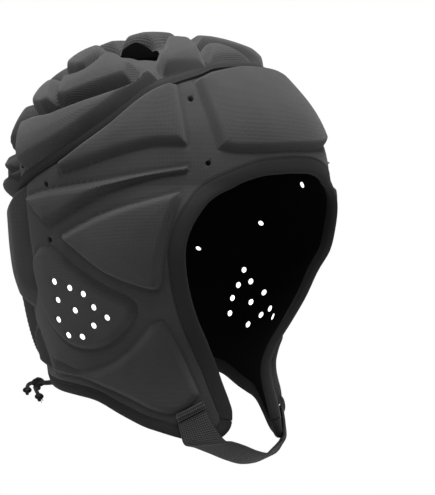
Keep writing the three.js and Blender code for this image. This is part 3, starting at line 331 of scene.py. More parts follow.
def seam_lift(turn, fall):
    """Swell of both panels along the seam over the forehead: a bell across the seam."""
    around = np.abs((np.asarray(turn, float) + 540) % 360 - 180)
    bell = np.exp(-((fall - seam_fall(turn)) / SEAM_LIFT_WIDTH) ** 2)
    return SEAM_LIFT * (1 - ease(50, 85, around)) * bell


def degree_length(turn, fall):
    """Millimetres in one degree of turn at a fall."""
    angle = np.minimum(fall, WIDEST_FALL) / DOME_HEIGHT
    drop = np.maximum(0, fall - WIDEST_FALL)
    return np.radians(reach_at(turn, drop) * np.sin(angle))


def edge_at(row):
    """Seam turn, edge turn and edge fall at a row of the edge table, mirrored below zero."""
    row = np.asarray(row, float)
    side = np.where(row < 0, -1, 1)
    seam_turn, turn, fall = (through(EDGE_ROWS, EDGE[:, k], np.abs(row)) for k in range(3))
    return side * seam_turn, side * turn, FULL_FALL * fall


def binding_width(row):
    """Width of the binding, which narrows from the face opening to the hem at the chin."""
    share = ease(CHIN_ROW - 1.5, CHIN_ROW + 1.5, np.abs(row))
    return FACE_BINDING + (HEM_BINDING - FACE_BINDING) * share


def inset_from(row, distance):
    """Turn and fall of a point in from the free edge, square to it along the panel."""
    _, turn, fall = edge_at(row)
    _, turn0, fall0 = edge_at(np.maximum(-LAST_ROW, row - 0.1))
    _, turn1, fall1 = edge_at(np.minimum(LAST_ROW, row + 0.1))
    per_degree = degree_length(turn, fall)
    run = np.stack([(turn1 - turn0) * per_degree, fall1 - fall0])
    run /= np.linalg.norm(run, axis=0)
    return turn + distance * run[1] / per_degree, fall - distance * run[0]


# Camera at the photo's angle, so far off that it sees almost without perspective
VIEW_TURN = math.radians(-50.0)
VIEW_RISE = math.radians(2.5)
PIXELS = 435
PIXELS_PER_MM = 1.6
AIM_RIGHT = 28.4
AIM_UP = -120.3
CAMERA_DISTANCE = 6.0
view_right = Vector((math.cos(VIEW_TURN), math.sin(VIEW_TURN), 0))
view_back = Vector((math.sin(VIEW_TURN) * math.cos(VIEW_RISE),
                    -math.cos(VIEW_TURN) * math.cos(VIEW_RISE), math.sin(VIEW_RISE)))
view_up = view_back.cross(view_right)
camera_data = bpy.data.cameras.new("camera")
camera_data.sensor_fit = "HORIZONTAL"
camera_data.lens = camera_data.sensor_width * CAMERA_DISTANCE / (PIXELS / PIXELS_PER_MM * MM)
camera_data.clip_end = 50
camera = bpy.data.objects.new("camera", camera_data)
camera.location = (view_right * AIM_RIGHT + view_up * AIM_UP) * MM + view_back * CAMERA_DISTANCE
camera.rotation_euler = view_back.to_track_quat("Z", "Y").to_euler()
bpy.context.scene.collection.objects.link(camera)
bpy.context.scene.camera = camera


# Meshes
def mesh_object(name, points, faces, uv=None, kinds=None, sharp=60):
    """Object from points in millimetres and faces; unused points are dropped."""
    used = np.unique(np.concatenate([np.asarray(f).ravel() for f in faces]))
    order = np.full(len(points), -1)
    order[used] = np.arange(len(used))
    loops = np.concatenate([order[np.asarray(f)].ravel() for f in faces])
    sizes = np.concatenate([np.full(len(f), np.asarray(f).shape[1]) for f in faces])
    mesh = bpy.data.meshes.new(name)
    mesh.vertices.add(len(used))
    mesh.vertices.foreach_set("co", (points[used] * MM).astype(np.float32).ravel())
    mesh.loops.add(len(loops))
    mesh.loops.foreach_set("vertex_index", loops.astype(np.int32))
    mesh.polygons.add(len(sizes))
    starts = np.concatenate([[0], np.cumsum(sizes)[:-1]]).astype(np.int32)
    mesh.polygons.foreach_set("loop_start", starts)
    mesh.polygons.foreach_set("use_smooth", np.ones(len(sizes), bool))
    if kinds is not None:
        mesh.polygons.foreach_set("material_index", np.concatenate(kinds).astype(np.int32))
    if uv is not None:
        layer = mesh.uv_layers.new(name="UVMap")
        layer.data.foreach_set("uv", uv[used][loops].astype(np.float32).ravel())
    mesh.update()
    mesh.validate()
    mesh.set_sharp_from_angle(angle=math.radians(sharp))
    made = bpy.data.objects.new(name, mesh)
    bpy.context.scene.collection.objects.link(made)
    return made


def thick_faces(faces, count, foam):
    """Faces of a wall between two copies of a sheet: the outer faces, the inner ones turned
    over, and a quad along each edge that only one face has. Points of the inner copy come
    count places later. Returns the face arrays and the kind of each, 1 on the foam's cuts."""
    edges = np.concatenate([np.stack([f, np.roll(f, -1, 1)], -1).reshape(-1, 2) for f in faces])
    ahead = edges[:, 0].astype(np.int64) * count + edges[:, 1]
    behind = edges[:, 1].astype(np.int64) * count + edges[:, 0]
    rim = edges[~np.isin(ahead, behind)]
    walls = np.stack([rim[:, 1], rim[:, 0], rim[:, 0] + count, rim[:, 1] + count], -1)
    inner = [f[:, ::-1] + count for f in faces]
    # Walls with both points in the foam mask take kind 1, the pale foam whose emission is a
    # painted glow.
    cut = foam[rim[:, 0]] & foam[rim[:, 1]]
    kinds = [np.zeros(len(f), int) for f in faces] + [np.full(len(f), 2) for f in inner]
    return [*faces, *inner, walls], [*kinds, cut.astype(int)]


def smoothed(outline, spacing=5.0):
    """Closed outline with points about a spacing apart and its corners cut twice."""
    closed = np.vstack([outline, outline[:1]])
    steps = np.hypot(*np.diff(closed, axis=0).T)
    along = np.concatenate([[0], np.cumsum(steps)])
    count = max(12, int(along[-1] / spacing))
    at = np.unique(np.concatenate([np.linspace(0, along[-1], count, endpoint=False), along[:-1]]))
    points = np.stack([np.interp(at, along, closed[:, k]) for k in range(2)], -1)
    for _ in range(2):
        ahead = np.roll(points, -1, 0)
        points = np.stack([0.75 * points + 0.25 * ahead, 0.25 * points + 0.75 * ahead], 1)
        points = points.reshape(-1, 2)
    return points


def pad_outline(sections, scale):
    """Outline of a pad: cubics through the two edge points of its sections, and back."""
    table = np.asarray(sections, float) * np.array([scale[0], scale[1], scale[0], scale[1]])
    fine = np.linspace(0, len(table) - 1, 4 * (len(table) - 1) + 1)
    sides = [np.stack([through(np.arange(len(table)), table[:, k], fine)
                       for k in pair], -1) for pair in ((0, 1), (2, 3))]
    return np.vstack([sides[0], sides[1][::-1]])


def inside_depth(u, v, outline, to_u, to_v, margin=14.0):
    """Signed distance in from an outline, positive inside: the least distance to its sides,
    each offset first turned into real millimetres by to_u and to_v at the point."""
    depth = np.full(u.shape, -1e3)
    low, high = outline.min(0), outline.max(0)
    reach_u = margin / np.abs(to_u)
    near = ((u > low[0] - reach_u) & (u < high[0] + reach_u)
            & (v > low[1] - margin) & (v < high[1] + margin))
    pu, pv = u[near], v[near]
    scale_u, scale_v = to_u[near], to_v[near]
    best = np.full(pu.shape, 1e9)
    within = np.zeros(pu.shape, bool)
    for (u0, v0), (u1, v1) in zip(outline, np.roll(outline, -1, 0)):
        du, dv = (u1 - u0) * scale_u, (v1 - v0) * scale_v
        ou, ov = (pu - u0) * scale_u, (pv - v0) * scale_v
        t = np.clip((ou * du + ov * dv) / (du * du + dv * dv + 1e-12), 0, 1)
        best = np.minimum(best, (ou - t * du) ** 2 + (ov - t * dv) ** 2)
        if v0 != v1:
            crosses = ((v0 > pv) != (v1 > pv)) & (pu < (u1 - u0) * (pv - v0) / (v1 - v0) + u0)
            within ^= crosses
    depth[near] = np.sqrt(best) * np.where(within, 1, -1)
    return depth


def swell(depth, height, flank, crown):
    """Height over the shell: an S-shaped flank, steepest in its lower half, then a slow crown
    to the middle, and a shallow crease where the flank meets the channel."""
    t = np.clip(depth / flank, 0, 1) ** 0.8
    rise = t * t * (3 - 2 * t)
    middle = np.sin(np.clip(depth / crown, 0, 1) * math.pi / 2)
    return height * (0.8 * rise + 0.2 * middle), 0.6 * np.exp(-(depth / 1.3) ** 2)


def relief(depths, crown):
    """The highest pad at each point, less the deepest crease."""
    raised, crease = 0, 0
    for height, flank, depth in depths:
        up, down = swell(depth, height, flank, crown)
        raised, crease = np.maximum(raised, up), np.maximum(crease, down)
    return raised - crease


def waver(u, v, size):
    """Slow unevenness of soft cloth, a sum of three crossed waves."""
    return size * (np.sin(u / 17 + v / 23) + np.sin(u / 11 - v / 31 + 1.7)
                   + 0.6 * np.sin(u / 7 + v / 9 + 0.6)) / 2.6


def side_edge(sections):
    """Smoothed outline of a side pad, in turn and millimetres of fall."""
    return smoothed(pad_outline(sections, (TURN_SCALE, FULL_FALL))) / (TURN_SCALE, 1)


def crown_edge(sections):
    """Smoothed outline of a crown pad, in millimetres across and back."""
    return smoothed(pad_outline(sections, (FULL_FALL, FULL_FALL)))


# Height, flank and outline of every pad, and the outlines of the crown's open vents
SIDE_OUTLINES = []
for pad_name, (pad_height, pad_sections) in SIDE_PADS.items():
    if pad_name == "brow":
        pad_sections += [[-turn, fall, -low_turn, low_fall]
                         for turn, fall, low_turn, low_fall in pad_sections[-2::-1]]
    pad_edge = side_edge(pad_sections)
    pad_flank = SOFT_FLANK.get(pad_name, SIDE_FLANK)
    SIDE_OUTLINES.append((pad_height, pad_flank, pad_edge))
    if pad_name != "brow":
        SIDE_OUTLINES.append((pad_height, pad_flank, pad_edge * (-1, 1)))
LEFT_EAR = np.array(EAR_SECTIONS) + np.array([-LEFT_EAR_TURN, LEFT_EAR_FALL] * 2)
for pad_side, pad_height, pad_sections in ((1, EAR_PAD, EAR_SECTIONS), (-1, EAR_PAD, LEFT_EAR),
                                           (1, JAW_PAD, RIGHT_JAW), (-1, JAW_PAD, LEFT_JAW)):
    SIDE_OUTLINES.append((pad_height, SIDE_FLANK, side_edge(pad_sections) * (pad_side, 1)))
CROWN_OUTLINES = []
for pad_height, pad_sections in CROWN_PADS.values():
    pad_edge = crown_edge(pad_sections)
    CROWN_OUTLINES += [(pad_height, CROWN_FLANK, pad_edge),
                       (pad_height, CROWN_FLANK, pad_edge * (-1, 1))]
for pad_height, pad_places in MIDDLE_PADS.values():
    pad_sections = [[half, back, -half, back] for half, back in pad_places]
    CROWN_OUTLINES.append((pad_height, CROWN_FLANK, crown_edge(pad_sections)))
VENT_OUTLINES = []
for corners in (TOP_VENT, REAR_VENT):
    vent_edge = smoothed(np.array(corners) * FULL_FALL, 4.0)
    VENT_OUTLINES += [vent_edge, vent_edge * (-1, 1)]


def side_relief(turn, fall):
    """Height of the side panel's outer face over the bare shell: its pads, tucked in at the
    seam, with a slow waver and the swell along the seam."""
    per_degree = degree_length(turn, fall)
    depths = [(height, flank, inside_depth(turn, fall, edge, per_degree, np.ones_like(fall)))
              for height, flank, edge in SIDE_OUTLINES]
    below = np.maximum(0, fall - seam_fall(turn))
    return (relief(depths, SIDE_FULL) * ease(-2.0, 3.2, below)
            + waver(turn * TURN_SCALE, fall, SIDE_WAVER) + seam_lift(turn, fall))


def crown_relief(across, back):
    """Height of the crown's outer face over the bare shell: its pads, which lie low beside
    the outer rims of the vents and slope down to the seam over the forehead."""
    fall = np.hypot(across, back)
    turn = np.degrees(np.arctan2(across, -back))
    squeeze = np.degrees(degree_length(turn, fall)) / np.maximum(fall, 1)
    along = np.where(fall < 60, 1, squeeze)
    ones = np.ones_like(fall)
    depths = [(height, flank, CROWN_SPREAD + inside_depth(across, back, edge, along, ones))
              for height, flank, edge in CROWN_OUTLINES]
    vents = [inside_depth(across, back, edge, ones, ones, VENT_FADE + 1)
             for edge in VENT_OUTLINES]
    outward = ease(22, 36, np.hypot(across, back - 20))
    beside = 1 - ease(0, VENT_FADE, -np.maximum.reduce(vents))
    rims = 1 - VENT_FADE_SHARE * outward * beside
    front = 1 - ease(50, 75, np.abs(turn))
    slope = 1 - BROW_SLOPE * front * (1 - ease(3, 20, seam_fall(turn) - fall))
    return (relief(depths, CROWN_FULL) * rims * slope + waver(across, back, CROWN_WAVER)
            + seam_lift(turn, fall))


def side_grid():
    """Turn and fall of the side panel's points: a column for each fine row of the edge table,
    along a curve that leaves the seam straight down and bends to the free edge."""
    rows = [0.0]
    for start in range(LAST_ROW):
        seams, turns, falls = edge_at(np.array([start, start + 1.0]))
        length = max(np.hypot((turns[1] - turns[0]) * 1.5, falls[1] - falls[0]),
                     (seams[1] - seams[0]) * 1.5)
        count = int(np.ceil(length / COLUMN_STEP))
        rows += list(start + np.arange(1, count + 1) / count)
    rows = np.array(rows)
    rows = np.concatenate([-rows[:0:-1], rows])
    t = np.linspace(0, 1, ROW_COUNT)[None]
    seam_turn, _, _ = edge_at(rows)
    top_fall = seam_fall(seam_turn) + 0.15
    end_turn, end_fall = inset_from(rows, binding_width(rows) + 0.4)
    bend_fall = top_fall + 0.7 * (end_fall - top_fall)
    top, bend, end = (1 - t) ** 2, 2 * t * (1 - t), t * t
    turn = (top + bend) * seam_turn[:, None] + end * end_turn[:, None]
    fall = top * top_fall[:, None] + bend * bend_fall[:, None] + end * end_fall[:, None]
    return rows, turn, fall


def side_panel():
    """Side panel: the grid with its relief, tucked into the bindings, with round vents."""
    rows, turn, fall = side_grid()
    height = side_relief(turn.ravel(), fall.ravel()).reshape(turn.shape)
    inner = np.full(turn.shape, -WALL)
    for share, out, under in ((0.8, -1.2, -2.8), (0.35, -1.3, -2.7), (0.12, -1.5, -2.5)):
        more = inset_from(rows, binding_width(rows) * share)
        turn, fall = np.column_stack([turn, more[0]]), np.column_stack([fall, more[1]])
        height = np.column_stack([height, np.full(len(rows), out)])
        inner = np.column_stack([inner, np.full(len(rows), under)])
    columns, lines = turn.shape
    ids = np.arange(columns * lines).reshape(columns, lines)
    keep = np.ones((columns - 1, lines - 1), bool)
    spots = [np.stack([turn.ravel(), fall.ravel(), height.ravel(), inner.ravel()], -1)]
    foam = [np.zeros(columns * lines, bool)]
    rings = []
    # Holes flagged pale get walls of the pale foam, whose emission is a painted glow; the other
    # holes keep the panel cloth on their walls.
    holes = [(s * t, f, VENT_RADIUS, k < EAR_VENT_COUNT or s < 0)
             for s, vents in ((1, RIGHT_VENTS), (-1, LEFT_VENTS))
             for k, (t, f) in enumerate(vents)]
    holes += [(s * t, f, LACE_HOLE_RADIUS, False) for s in (1, -1) for t, f in LACE_HOLES]
    count = columns * lines
    for at_turn, at_fall, radius, pale in holes:
        at_fall = at_fall * FULL_FALL
        scale = degree_length(np.array([at_turn]), np.array([at_fall]))[0]
        away = np.hypot((turn - at_turn) * scale, fall - at_fall)
        i, j = np.unravel_index(np.argmin(away), away.shape)
        step_i = np.hypot((turn[i + 1, j] - turn[i, j]) * scale, fall[i + 1, j] - fall[i, j])
        step_j = np.hypot((turn[i, j + 1] - turn[i, j]) * scale, fall[i, j + 1] - fall[i, j])
        p, q = (max(2, int(np.ceil((radius + 0.9) / s))) for s in (step_i, step_j))
        keep[i - p:i + p, j - q:j + q] = False
        block = np.concatenate([ids[i - p:i + p, j - q], ids[i + p, j - q:j + q],
                                ids[i + p:i - p:-1, j + q], ids[i - p, j + q:j - q:-1]])
        across = (turn.ravel()[block] - at_turn) * scale
        down = fall.ravel()[block] - at_fall
        angle = np.arctan2(down, across)
        before = block
        for size, sink in ((radius + HOLE_LIP, 0.0), (radius, HOLE_SINK)):
            ring_turn = at_turn + size * np.cos(angle) / scale
            ring_fall = at_fall + size * np.sin(angle)
            ring_height = side_relief(ring_turn, ring_fall) - sink
            spots.append(np.stack([ring_turn, ring_fall, ring_height,
                                   np.full(len(block), -WALL)], -1))
            foam.append(np.full(len(block), pale and sink > 0))
            ring = count + np.arange(len(block))
            count += len(block)
            rings.append(np.stack([before, np.roll(before, -1), np.roll(ring, -1), ring], -1))
            before = ring
    spots = np.vstack(spots)
    cells = np.stack([ids[:-1, :-1], ids[1:, :-1], ids[1:, 1:], ids[:-1, 1:]], -1)[keep]
    faces, kinds = thick_faces([cells, *rings], count, np.concatenate(foam))
    outer = side_point(spots[:, 0], spots[:, 1], spots[:, 2])
    under = side_point(spots[:, 0], spots[:, 1], spots[:, 3])
    uv = np.stack([spots[:, 0] * TURN_SCALE, spots[:, 1]], -1)
    return mesh_object("side_panel_cloth", np.vstack([outer, under]), faces,
                       np.vstack([uv, uv]), kinds)


def crown_panel():
    """Crown: a square grid on the flattened dome, cut to the seam and to the open vents by
    moving the points near an outline onto it."""
    a = np.arange(-112, 112, CROWN_CELL)
    b = np.arange(-58, 160, CROWN_CELL)
    across, back = (g.ravel() for g in np.meshgrid(a, b, indexing="ij"))
    ids = np.arange(len(across)).reshape(len(a), len(b))
    turns = np.linspace(0, 360, 400, endpoint=False)
    rim = seam_fall(turns) - 0.2
    rim = np.stack([rim * np.sin(np.radians(turns)), -rim * np.cos(np.radians(turns))], -1)
    borders = [(1, rim)]
    borders += [(-1, hole) for hole in VENT_OUTLINES]

    def clear(u, v):
        depths = [s * inside_depth(u, v, edge, np.ones_like(u), np.ones_like(u), 4.0)
                  for s, edge in borders]
        return np.minimum.reduce(depths)

    depth = clear(across, back)
    close = (depth > -0.75 * CROWN_CELL) & (depth < 0.3 * CROWN_CELL)
    for _ in range(3):
        u, v = across[close], back[close]
        here = clear(u, v)
        slope_u = (clear(u + 0.05, v) - clear(u - 0.05, v)) / 0.1
        slope_v = (clear(u, v + 0.05) - clear(u, v - 0.05)) / 0.1
        across[close] = u - here * slope_u
        back[close] = v - here * slope_v
    good = (depth > 0) | close
    cells = np.stack([ids[:-1, :-1], ids[1:, :-1], ids[1:, 1:], ids[:-1, 1:]], -1).reshape(-1, 4)
    whole = good[cells].sum(1)
    corners = cells[whole == 3]
    missing = np.argmin(good[corners], axis=1)
    order = (missing[:, None] + np.array([1, 2, 3])[None]) % 4
    thirds = np.take_along_axis(corners, order, 1)
    quads = cells[whole == 4]
    height = crown_relief(across, back)
    outer = crown_point(across, back, height)
    inner = crown_point(across, back, -WALL)
    faces, kinds = thick_faces([quads, thirds], len(across), np.zeros(len(across), bool))
    kinds[-1] = np.full(len(faces[-1]), 2)
    uv = np.stack([across, back], -1)
    return mesh_object("crown_panel_cloth", np.vstack([outer, inner]), faces,
                       np.vstack([uv, uv]), kinds)


def swept(name, rings, closed=False):
    """Body of a closed profile carried along a path; rings is stations by profile points.
    Its map is the way along the path and round the profile, in millimetres."""
    stations, count = rings.shape[:2]
    ids = np.arange(stations * count).reshape(stations, count)
    nxt = np.roll(ids, -1, 0) if closed else ids[1:]
    here = ids if closed else ids[:-1]
    faces = [np.stack([here, nxt, np.roll(nxt, -1, 1), np.roll(here, -1, 1)], -1).reshape(-1, 4)]
    points = rings.reshape(-1, 3)
    a, b, c, d = (points[faces[0][:, k]] for k in range(4))
    volume = np.sum(np.cross(a, b) * c) + np.sum(np.cross(a, c) * d)
    if not closed:
        faces += [ids[0][None, :], ids[-1][None, ::-1]]
    if volume < 0:
        faces = [f[:, ::-1] for f in faces]
    middle = rings.mean(1)
    along = np.concatenate([[0], np.cumsum(np.linalg.norm(np.diff(middle, axis=0), axis=1))])
    girth = np.concatenate([[0], np.cumsum(np.linalg.norm(np.diff(rings[0], axis=0), axis=1))])
    uv = np.stack(np.meshgrid(along, girth, indexing="ij"), -1).reshape(-1, 2)
    return mesh_object(name, points, faces, uv, sharp=75)


# Binding section: share of the width in from the edge or millimetres past it, and height
BINDING_SECTION = [
    # share of width, extra inset, height
    (1, 0.1, -0.35), (1, -0.35, 0.25), (1, -0.9, 0.42), (1, -1.5, 0.12), (1, -2.2, 0.5),
    (0.6, 0, 0.75), (0.3, 0, 0.72), (0.1, 0, 0.35), (0, 0, -0.1), (0, -0.7, -0.8),
    (0, -1.0, -1.9), (0, -0.8, -3.1), (0, 0, -4.1), (0.2, 0, -4.5), (0.6, 0, -4.6),
    (1, -0.8, -4.5), (1, 0, -4.1), (1, -0.3, -3.4), (0, 0.6, -3.3), (0, 0.6, -0.8),
    (1, -0.3, -0.7),
]


def binding(name, start, end):
    """Binding folded round the free edge: a rolled section with a sewn line at its border."""
    rows = np.linspace(start, end, int((end - start) * BINDING_STEPS) + 1)
    width = binding_width(rows)
    rings = []
    for share, extra, height in BINDING_SECTION:
        turn, fall = inset_from(rows, share * width + extra)
        rings.append(side_point(turn, fall, np.full(len(rows), height)))
    return swept(name, np.stack(rings, 1))


def crown_spot(turn, inset):
    """Point on the flattened crown, in from the seam towards the crown's middle."""
    fall = seam_fall(turn)
    seam = np.stack([fall * np.sin(np.radians(turn)), -fall * np.cos(np.radians(turn))], -1)
    way = np.array([0, 0.14 * FULL_FALL]) - seam
    return seam + inset * way / np.linalg.norm(way, axis=-1, keepdims=True)


# Tape section: inset from the seam and height
TAPE_SECTION = [
    (0.3, 0.3), (0.35, 1.1), (1.0, 1.5), (1.5, 1.05), (2.1, 1.5), (4.2, 1.7), (6.4, 1.5),
    (7.0, 1.05), (7.6, 1.45), (8.1, 1.1), (8.2, 0.3),
]


def seam_tape():
    """Tape all the way round beside the seam, with a sewn line along each border."""
    turns = np.linspace(0, 360, TAPE_STEPS, endpoint=False)
    rings = []
    for inset, height in TAPE_SECTION:
        spot = crown_spot(turns, inset)
        lift = seam_lift(turns, np.hypot(spot[:, 0], spot[:, 1]))
        rings.append(crown_point(spot[:, 0], spot[:, 1], height + lift))
    return swept("crown_seam_tape_cloth", np.stack(rings, 1), closed=True)


# Chin strap: rails on the flaps as turn and fall, then the free part between them
STRAP_THICK = 1.7
STRAP_SAG = 15.0
STRAP_REACH = 9.0
STRAP_LAY = 1.8
STRAP_RIGHT = [[30, 0.9315, 46, 0.9615], [26.5, 0.963, 44.5, 0.983], [20, 0.998, 42.5, 1.006]]
STRAP_LEFT = [[20.5, 0.998, 45, 1.006], [25.5, 0.963, 47, 0.983], [28, 0.9315, 49, 0.9615]]
STRAP_FREE = [
    # way, front sag, front reach, rear sag, rear reach
    [0.1, 0.1, 0.25, 0.15, 0.05], [0.26, 0.28, 0.45, 0.45, 0.1], [0.42, 0.5, 0.65, 0.75, 0.1],
    [0.58, 0.62, 0.75, 0.95, 0.1], [0.75, 0.58, 0.6, 0.88, 0.1], [0.9, 0.3, 0.3, 0.45, 0.05],
]


def strap_rails():
    """Front, middle and rear rail of the strap at each station, from flap to flap."""
    rails = []
    for side, rows in ((1, STRAP_RIGHT), (-1, STRAP_LEFT)):
        table = np.array(rows)
        turns = side * np.stack([table[:, 0], table[:, [0, 2]].mean(1), table[:, 2]], -1)
        falls = np.stack([table[:, 1], table[:, [1, 3]].mean(1), table[:, 3]], -1) * FULL_FALL
        rails.append(side_point(turns, falls, np.full(turns.shape, STRAP_LAY)))
    right, left = rails
    free = np.array(STRAP_FREE)
    way = free[:, 0, None]
    front = right[-1, 0] * (1 - way) + left[0, 0] * way
    rear = right[-1, 2] * (1 - way) + left[0, 2] * way
    front[:, 2] -= STRAP_SAG * free[:, 1]
    front[:, 1] -= STRAP_REACH * free[:, 2]
    rear[:, 2] -= STRAP_SAG * free[:, 3]
    rear[:, 1] -= STRAP_REACH * free[:, 4]
    middle = (front + rear) / 2
    return np.concatenate([right, np.stack([front, middle, rear], 1), left])


def chin_strap():
    """Webbing: a flat oval section carried along the rails, thinner at its woven edges."""
    rails = strap_rails()
    station = np.arange(len(rails))
    fine = np.linspace(0, len(rails) - 1, 150)
    smooth = np.stack([[through(station, rails[:, r, k], fine) for k in range(3)]
                       for r in range(3)]).transpose(2, 0, 1)
    across = np.linspace(0, 2, 15)
    sheet = np.stack([[through(np.arange(3), smooth[:, :, k].T, np.full(len(fine), c))
                       for k in range(3)] for c in across]).transpose(2, 0, 1)
    run = np.gradient(sheet, axis=0)
    wide = np.gradient(sheet, axis=1)
    out = np.cross(run, wide)
    out /= np.linalg.norm(out, axis=-1, keepdims=True)
    half = STRAP_THICK / 2 * (1 - 0.45 * np.abs(across - 1) ** 8)[None, :, None]
    rings = np.concatenate([sheet + out * half, (sheet - out * half)[:, ::-1]], 1)
    return swept("chin_strap_webbing", rings)


# Lace
LACE_RADIUS = 1.25
LACE_STAND = 2.8
OVER_BINDING = 168.0
CROSS_LIFT = 1.6
LOCK_HEIGHT = 9.0
LOCK_PLACE = np.array([0, REACHES[4] * 0.845, -WALL - DOME_HEIGHT - SIDE_DROP * 0.685])
STRAND_SPREAD = 4.2


def curve_through(points, count):
    """Centripetal curve through points: each stretch blends its four nearest, pair by pair,
    in three rounds, with the square roots of their distances as the knots."""
    p = np.asarray(points, float)
    p = np.vstack([2 * p[0] - p[1], p, 2 * p[-1] - p[-2]])
    made = []
    per = max(2, count // (len(p) - 3))
    for i in range(1, len(p) - 2):
        near = p[i - 1:i + 3]
        k = np.cumsum([0, *np.sqrt(np.linalg.norm(np.diff(near, axis=0), axis=1))])
        t = np.linspace(k[1], k[2], per, endpoint=i == len(p) - 3)[:, None]
        for spans in ([(0, 1), (1, 2), (2, 3)], [(0, 2), (1, 3)], [(1, 2)]):
            near = [((k[end] - t) * a + (t - k[start]) * b) / (k[end] - k[start])
                    for (start, end), a, b in zip(spans, near, near[1:])]
        made.append(near[0])
    return np.vstack(made)


def rings_round(path, side, up, radius, sides):
    """Circles round the points of a path, in the plane of side and up at each."""
    angle = np.linspace(0, 2 * math.pi, sides, endpoint=False)[None, :, None]
    side, up = np.atleast_2d(side)[:, None], np.atleast_2d(up)[:, None]
    return path[:, None] + radius * (side * np.cos(angle) + up * np.sin(angle))


def cord_tube(name, route, radius, count, sides=12):
    """Round cord: a circle carried along a curve in frames that turn as little as they can."""
    path = curve_through(route, count)
    run = np.gradient(path, axis=0)
    run /= np.linalg.norm(run, axis=1, keepdims=True)
    side = np.cross(run[0], (0.3, 0.5, 0.8))
    frames = []
    for way in run:
        side = side - way * (side @ way)
        side = side / np.linalg.norm(side)
        frames.append(side)
    side = np.array(frames)
    return swept(name, rings_round(path, side, np.cross(run, side), radius, sides)), path


def lace_hole(side, number, height):
    """Point on the middle line of a lace hole, at a height over the shell."""
    turn, fall = LACE_HOLES[number]
    return side_point(np.array([side * turn]), np.array([fall * FULL_FALL]),
                      np.array([float(height)]))[0]


def lace_route():
    """Lace from the lock up the right lobe, across, and down the left lobe to the lock."""
    def outward(side, number):
        return [lace_hole(side, number, h) for h in (-WALL - LACE_STAND, -WALL / 2, LACE_STAND)]

    def inward(side, number):
        return outward(side, number)[::-1]

    def crossing(side, start, end, lift):
        falls = [LACE_HOLES[n][1] * FULL_FALL for n in (start, end)]
        near, far = (side_point(np.array([way * side * OVER_BINDING]),
                                np.array([falls[0] + (falls[1] - falls[0]) * share]),
                                np.array([LACE_STAND]))[0]
                     for share, way in ((0.12, 1), (0.88, -1)))
        return [near, (near + far) / 2 + (0, lift, 0), far]

    def rise(side):
        top = LOCK_PLACE + (-side * STRAND_SPREAD, 0, LOCK_HEIGHT * 0.5)
        return [LOCK_PLACE + (-side * STRAND_SPREAD, 0, LOCK_HEIGHT * 0.1), top,
                top + (-side * 1.5, 0, 6)]

    return [*rise(1), *inward(1, 2), *outward(1, 1), *crossing(1, 1, 0, CROSS_LIFT),
            *inward(-1, 0), *outward(1, 0), *crossing(1, 0, 1, -CROSS_LIFT), *inward(-1, 1),
            *outward(-1, 2), *rise(-1)[::-1]]


# Knots: size of the trefoil's unit and radius of its cord
MAIN_KNOT = (1.15, 1.25)
TIP_KNOT = (0.72, 0.95)


def trefoil(name, middle, size, radius):
    """Tight knot: a cord along a trefoil, the circle (sin t + 2 sin 2t, cos t - 2 cos 2t)
    lifted by -sin 3t."""
    t = np.linspace(0, 2 * math.pi, 97)[:-1]
    path = np.stack([np.sin(t) + 2 * np.sin(2 * t), -1.5 * np.sin(3 * t),
                     np.cos(t) - 2 * np.cos(2 * t)], -1)
    run = np.stack([np.cos(t) + 4 * np.cos(2 * t), -4.5 * np.cos(3 * t),
                    -np.sin(t) + 4 * np.sin(2 * t)], -1)
    run /= np.linalg.norm(run, axis=1, keepdims=True)
    side = np.cross(run, (0, 1, 0))
    side /= np.linalg.norm(side, axis=1, keepdims=True)
    rings = rings_round(middle + size * path, side, np.cross(side, run), radius, 12)
    return swept(name, rings, closed=True)


TIP_KNOT_AHEAD = 1.8
YARNS_AHEAD = 3.0
YARN_LENGTH = 4.8
YARNS = 16
YARN_TURN = 2.4
YARN_SPREAD = 0.42


def frayed_end(name, start, way, length):
    """Brush of loose yarns: thin tapered tubes that leave a point along way and lean out,
    each a turn of YARN_TURN radians on from the last and further out with its root."""
    side = np.cross(way, (0, 0, 1))
    side /= np.linalg.norm(side)
    up = np.cross(side, way)
    made = []
    for k in range(YARNS):
        angle = k * YARN_TURN
        spread = YARN_SPREAD * math.sqrt((k + 0.5) / YARNS)
        lean = spread * (math.cos(angle) * side + math.sin(angle) * up)
        reach = length * (0.75 + 0.25 * math.cos(k * 1.9))
        t = np.linspace(0, 1, 7)[:, None]
        path = start + reach * (way * t + lean * (t + 0.3 * np.sin(3 * t + k)))
        width = YARN_RADIUS * (1 - 0.4 * t)[:, :, None]
        made.append(swept(f"{name}_{k}", rings_round(path, side, up, width, 5)))
    return made


def joined(name, pieces):
    """One object from several, with the first one's place and the new name."""
    bpy.ops.object.select_all(action="DESELECT")
    for piece in pieces:
        piece.select_set(True)
    bpy.context.view_layer.objects.active = pieces[0]
    bpy.ops.object.join()
    pieces[0].name = name
    pieces[0].data.name = name
    return pieces[0]


def cord_lock_body():
    """Lock: superellipse sections up its height, whose size is the 3.5th root of 1 less the
    3.5th power of the height, with a shallow waist."""
    low, high = (np.array(corner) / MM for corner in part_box("cord_lock"))
    middle, half = (low + high) / 2, (high - low) / 2
    t = np.linspace(-0.99, 0.99, 41)[:, None]
    size = (1 - np.abs(t) ** 3.5) ** (1 / 3.5) * (1 - 0.07 * np.exp(-((t / 0.13) ** 2)))
    angle = np.linspace(0, 2 * math.pi, 48, endpoint=False)[None]
    x = np.sign(np.cos(angle)) * np.abs(np.cos(angle)) ** 0.8
    y = np.sign(np.sin(angle)) * np.abs(np.sin(angle)) ** 0.8
    rings = np.stack([half[0] * size * x, half[1] * size * y,
                      half[2] * t + 0 * x], -1) + middle
    return swept("cord_lock_body", rings)


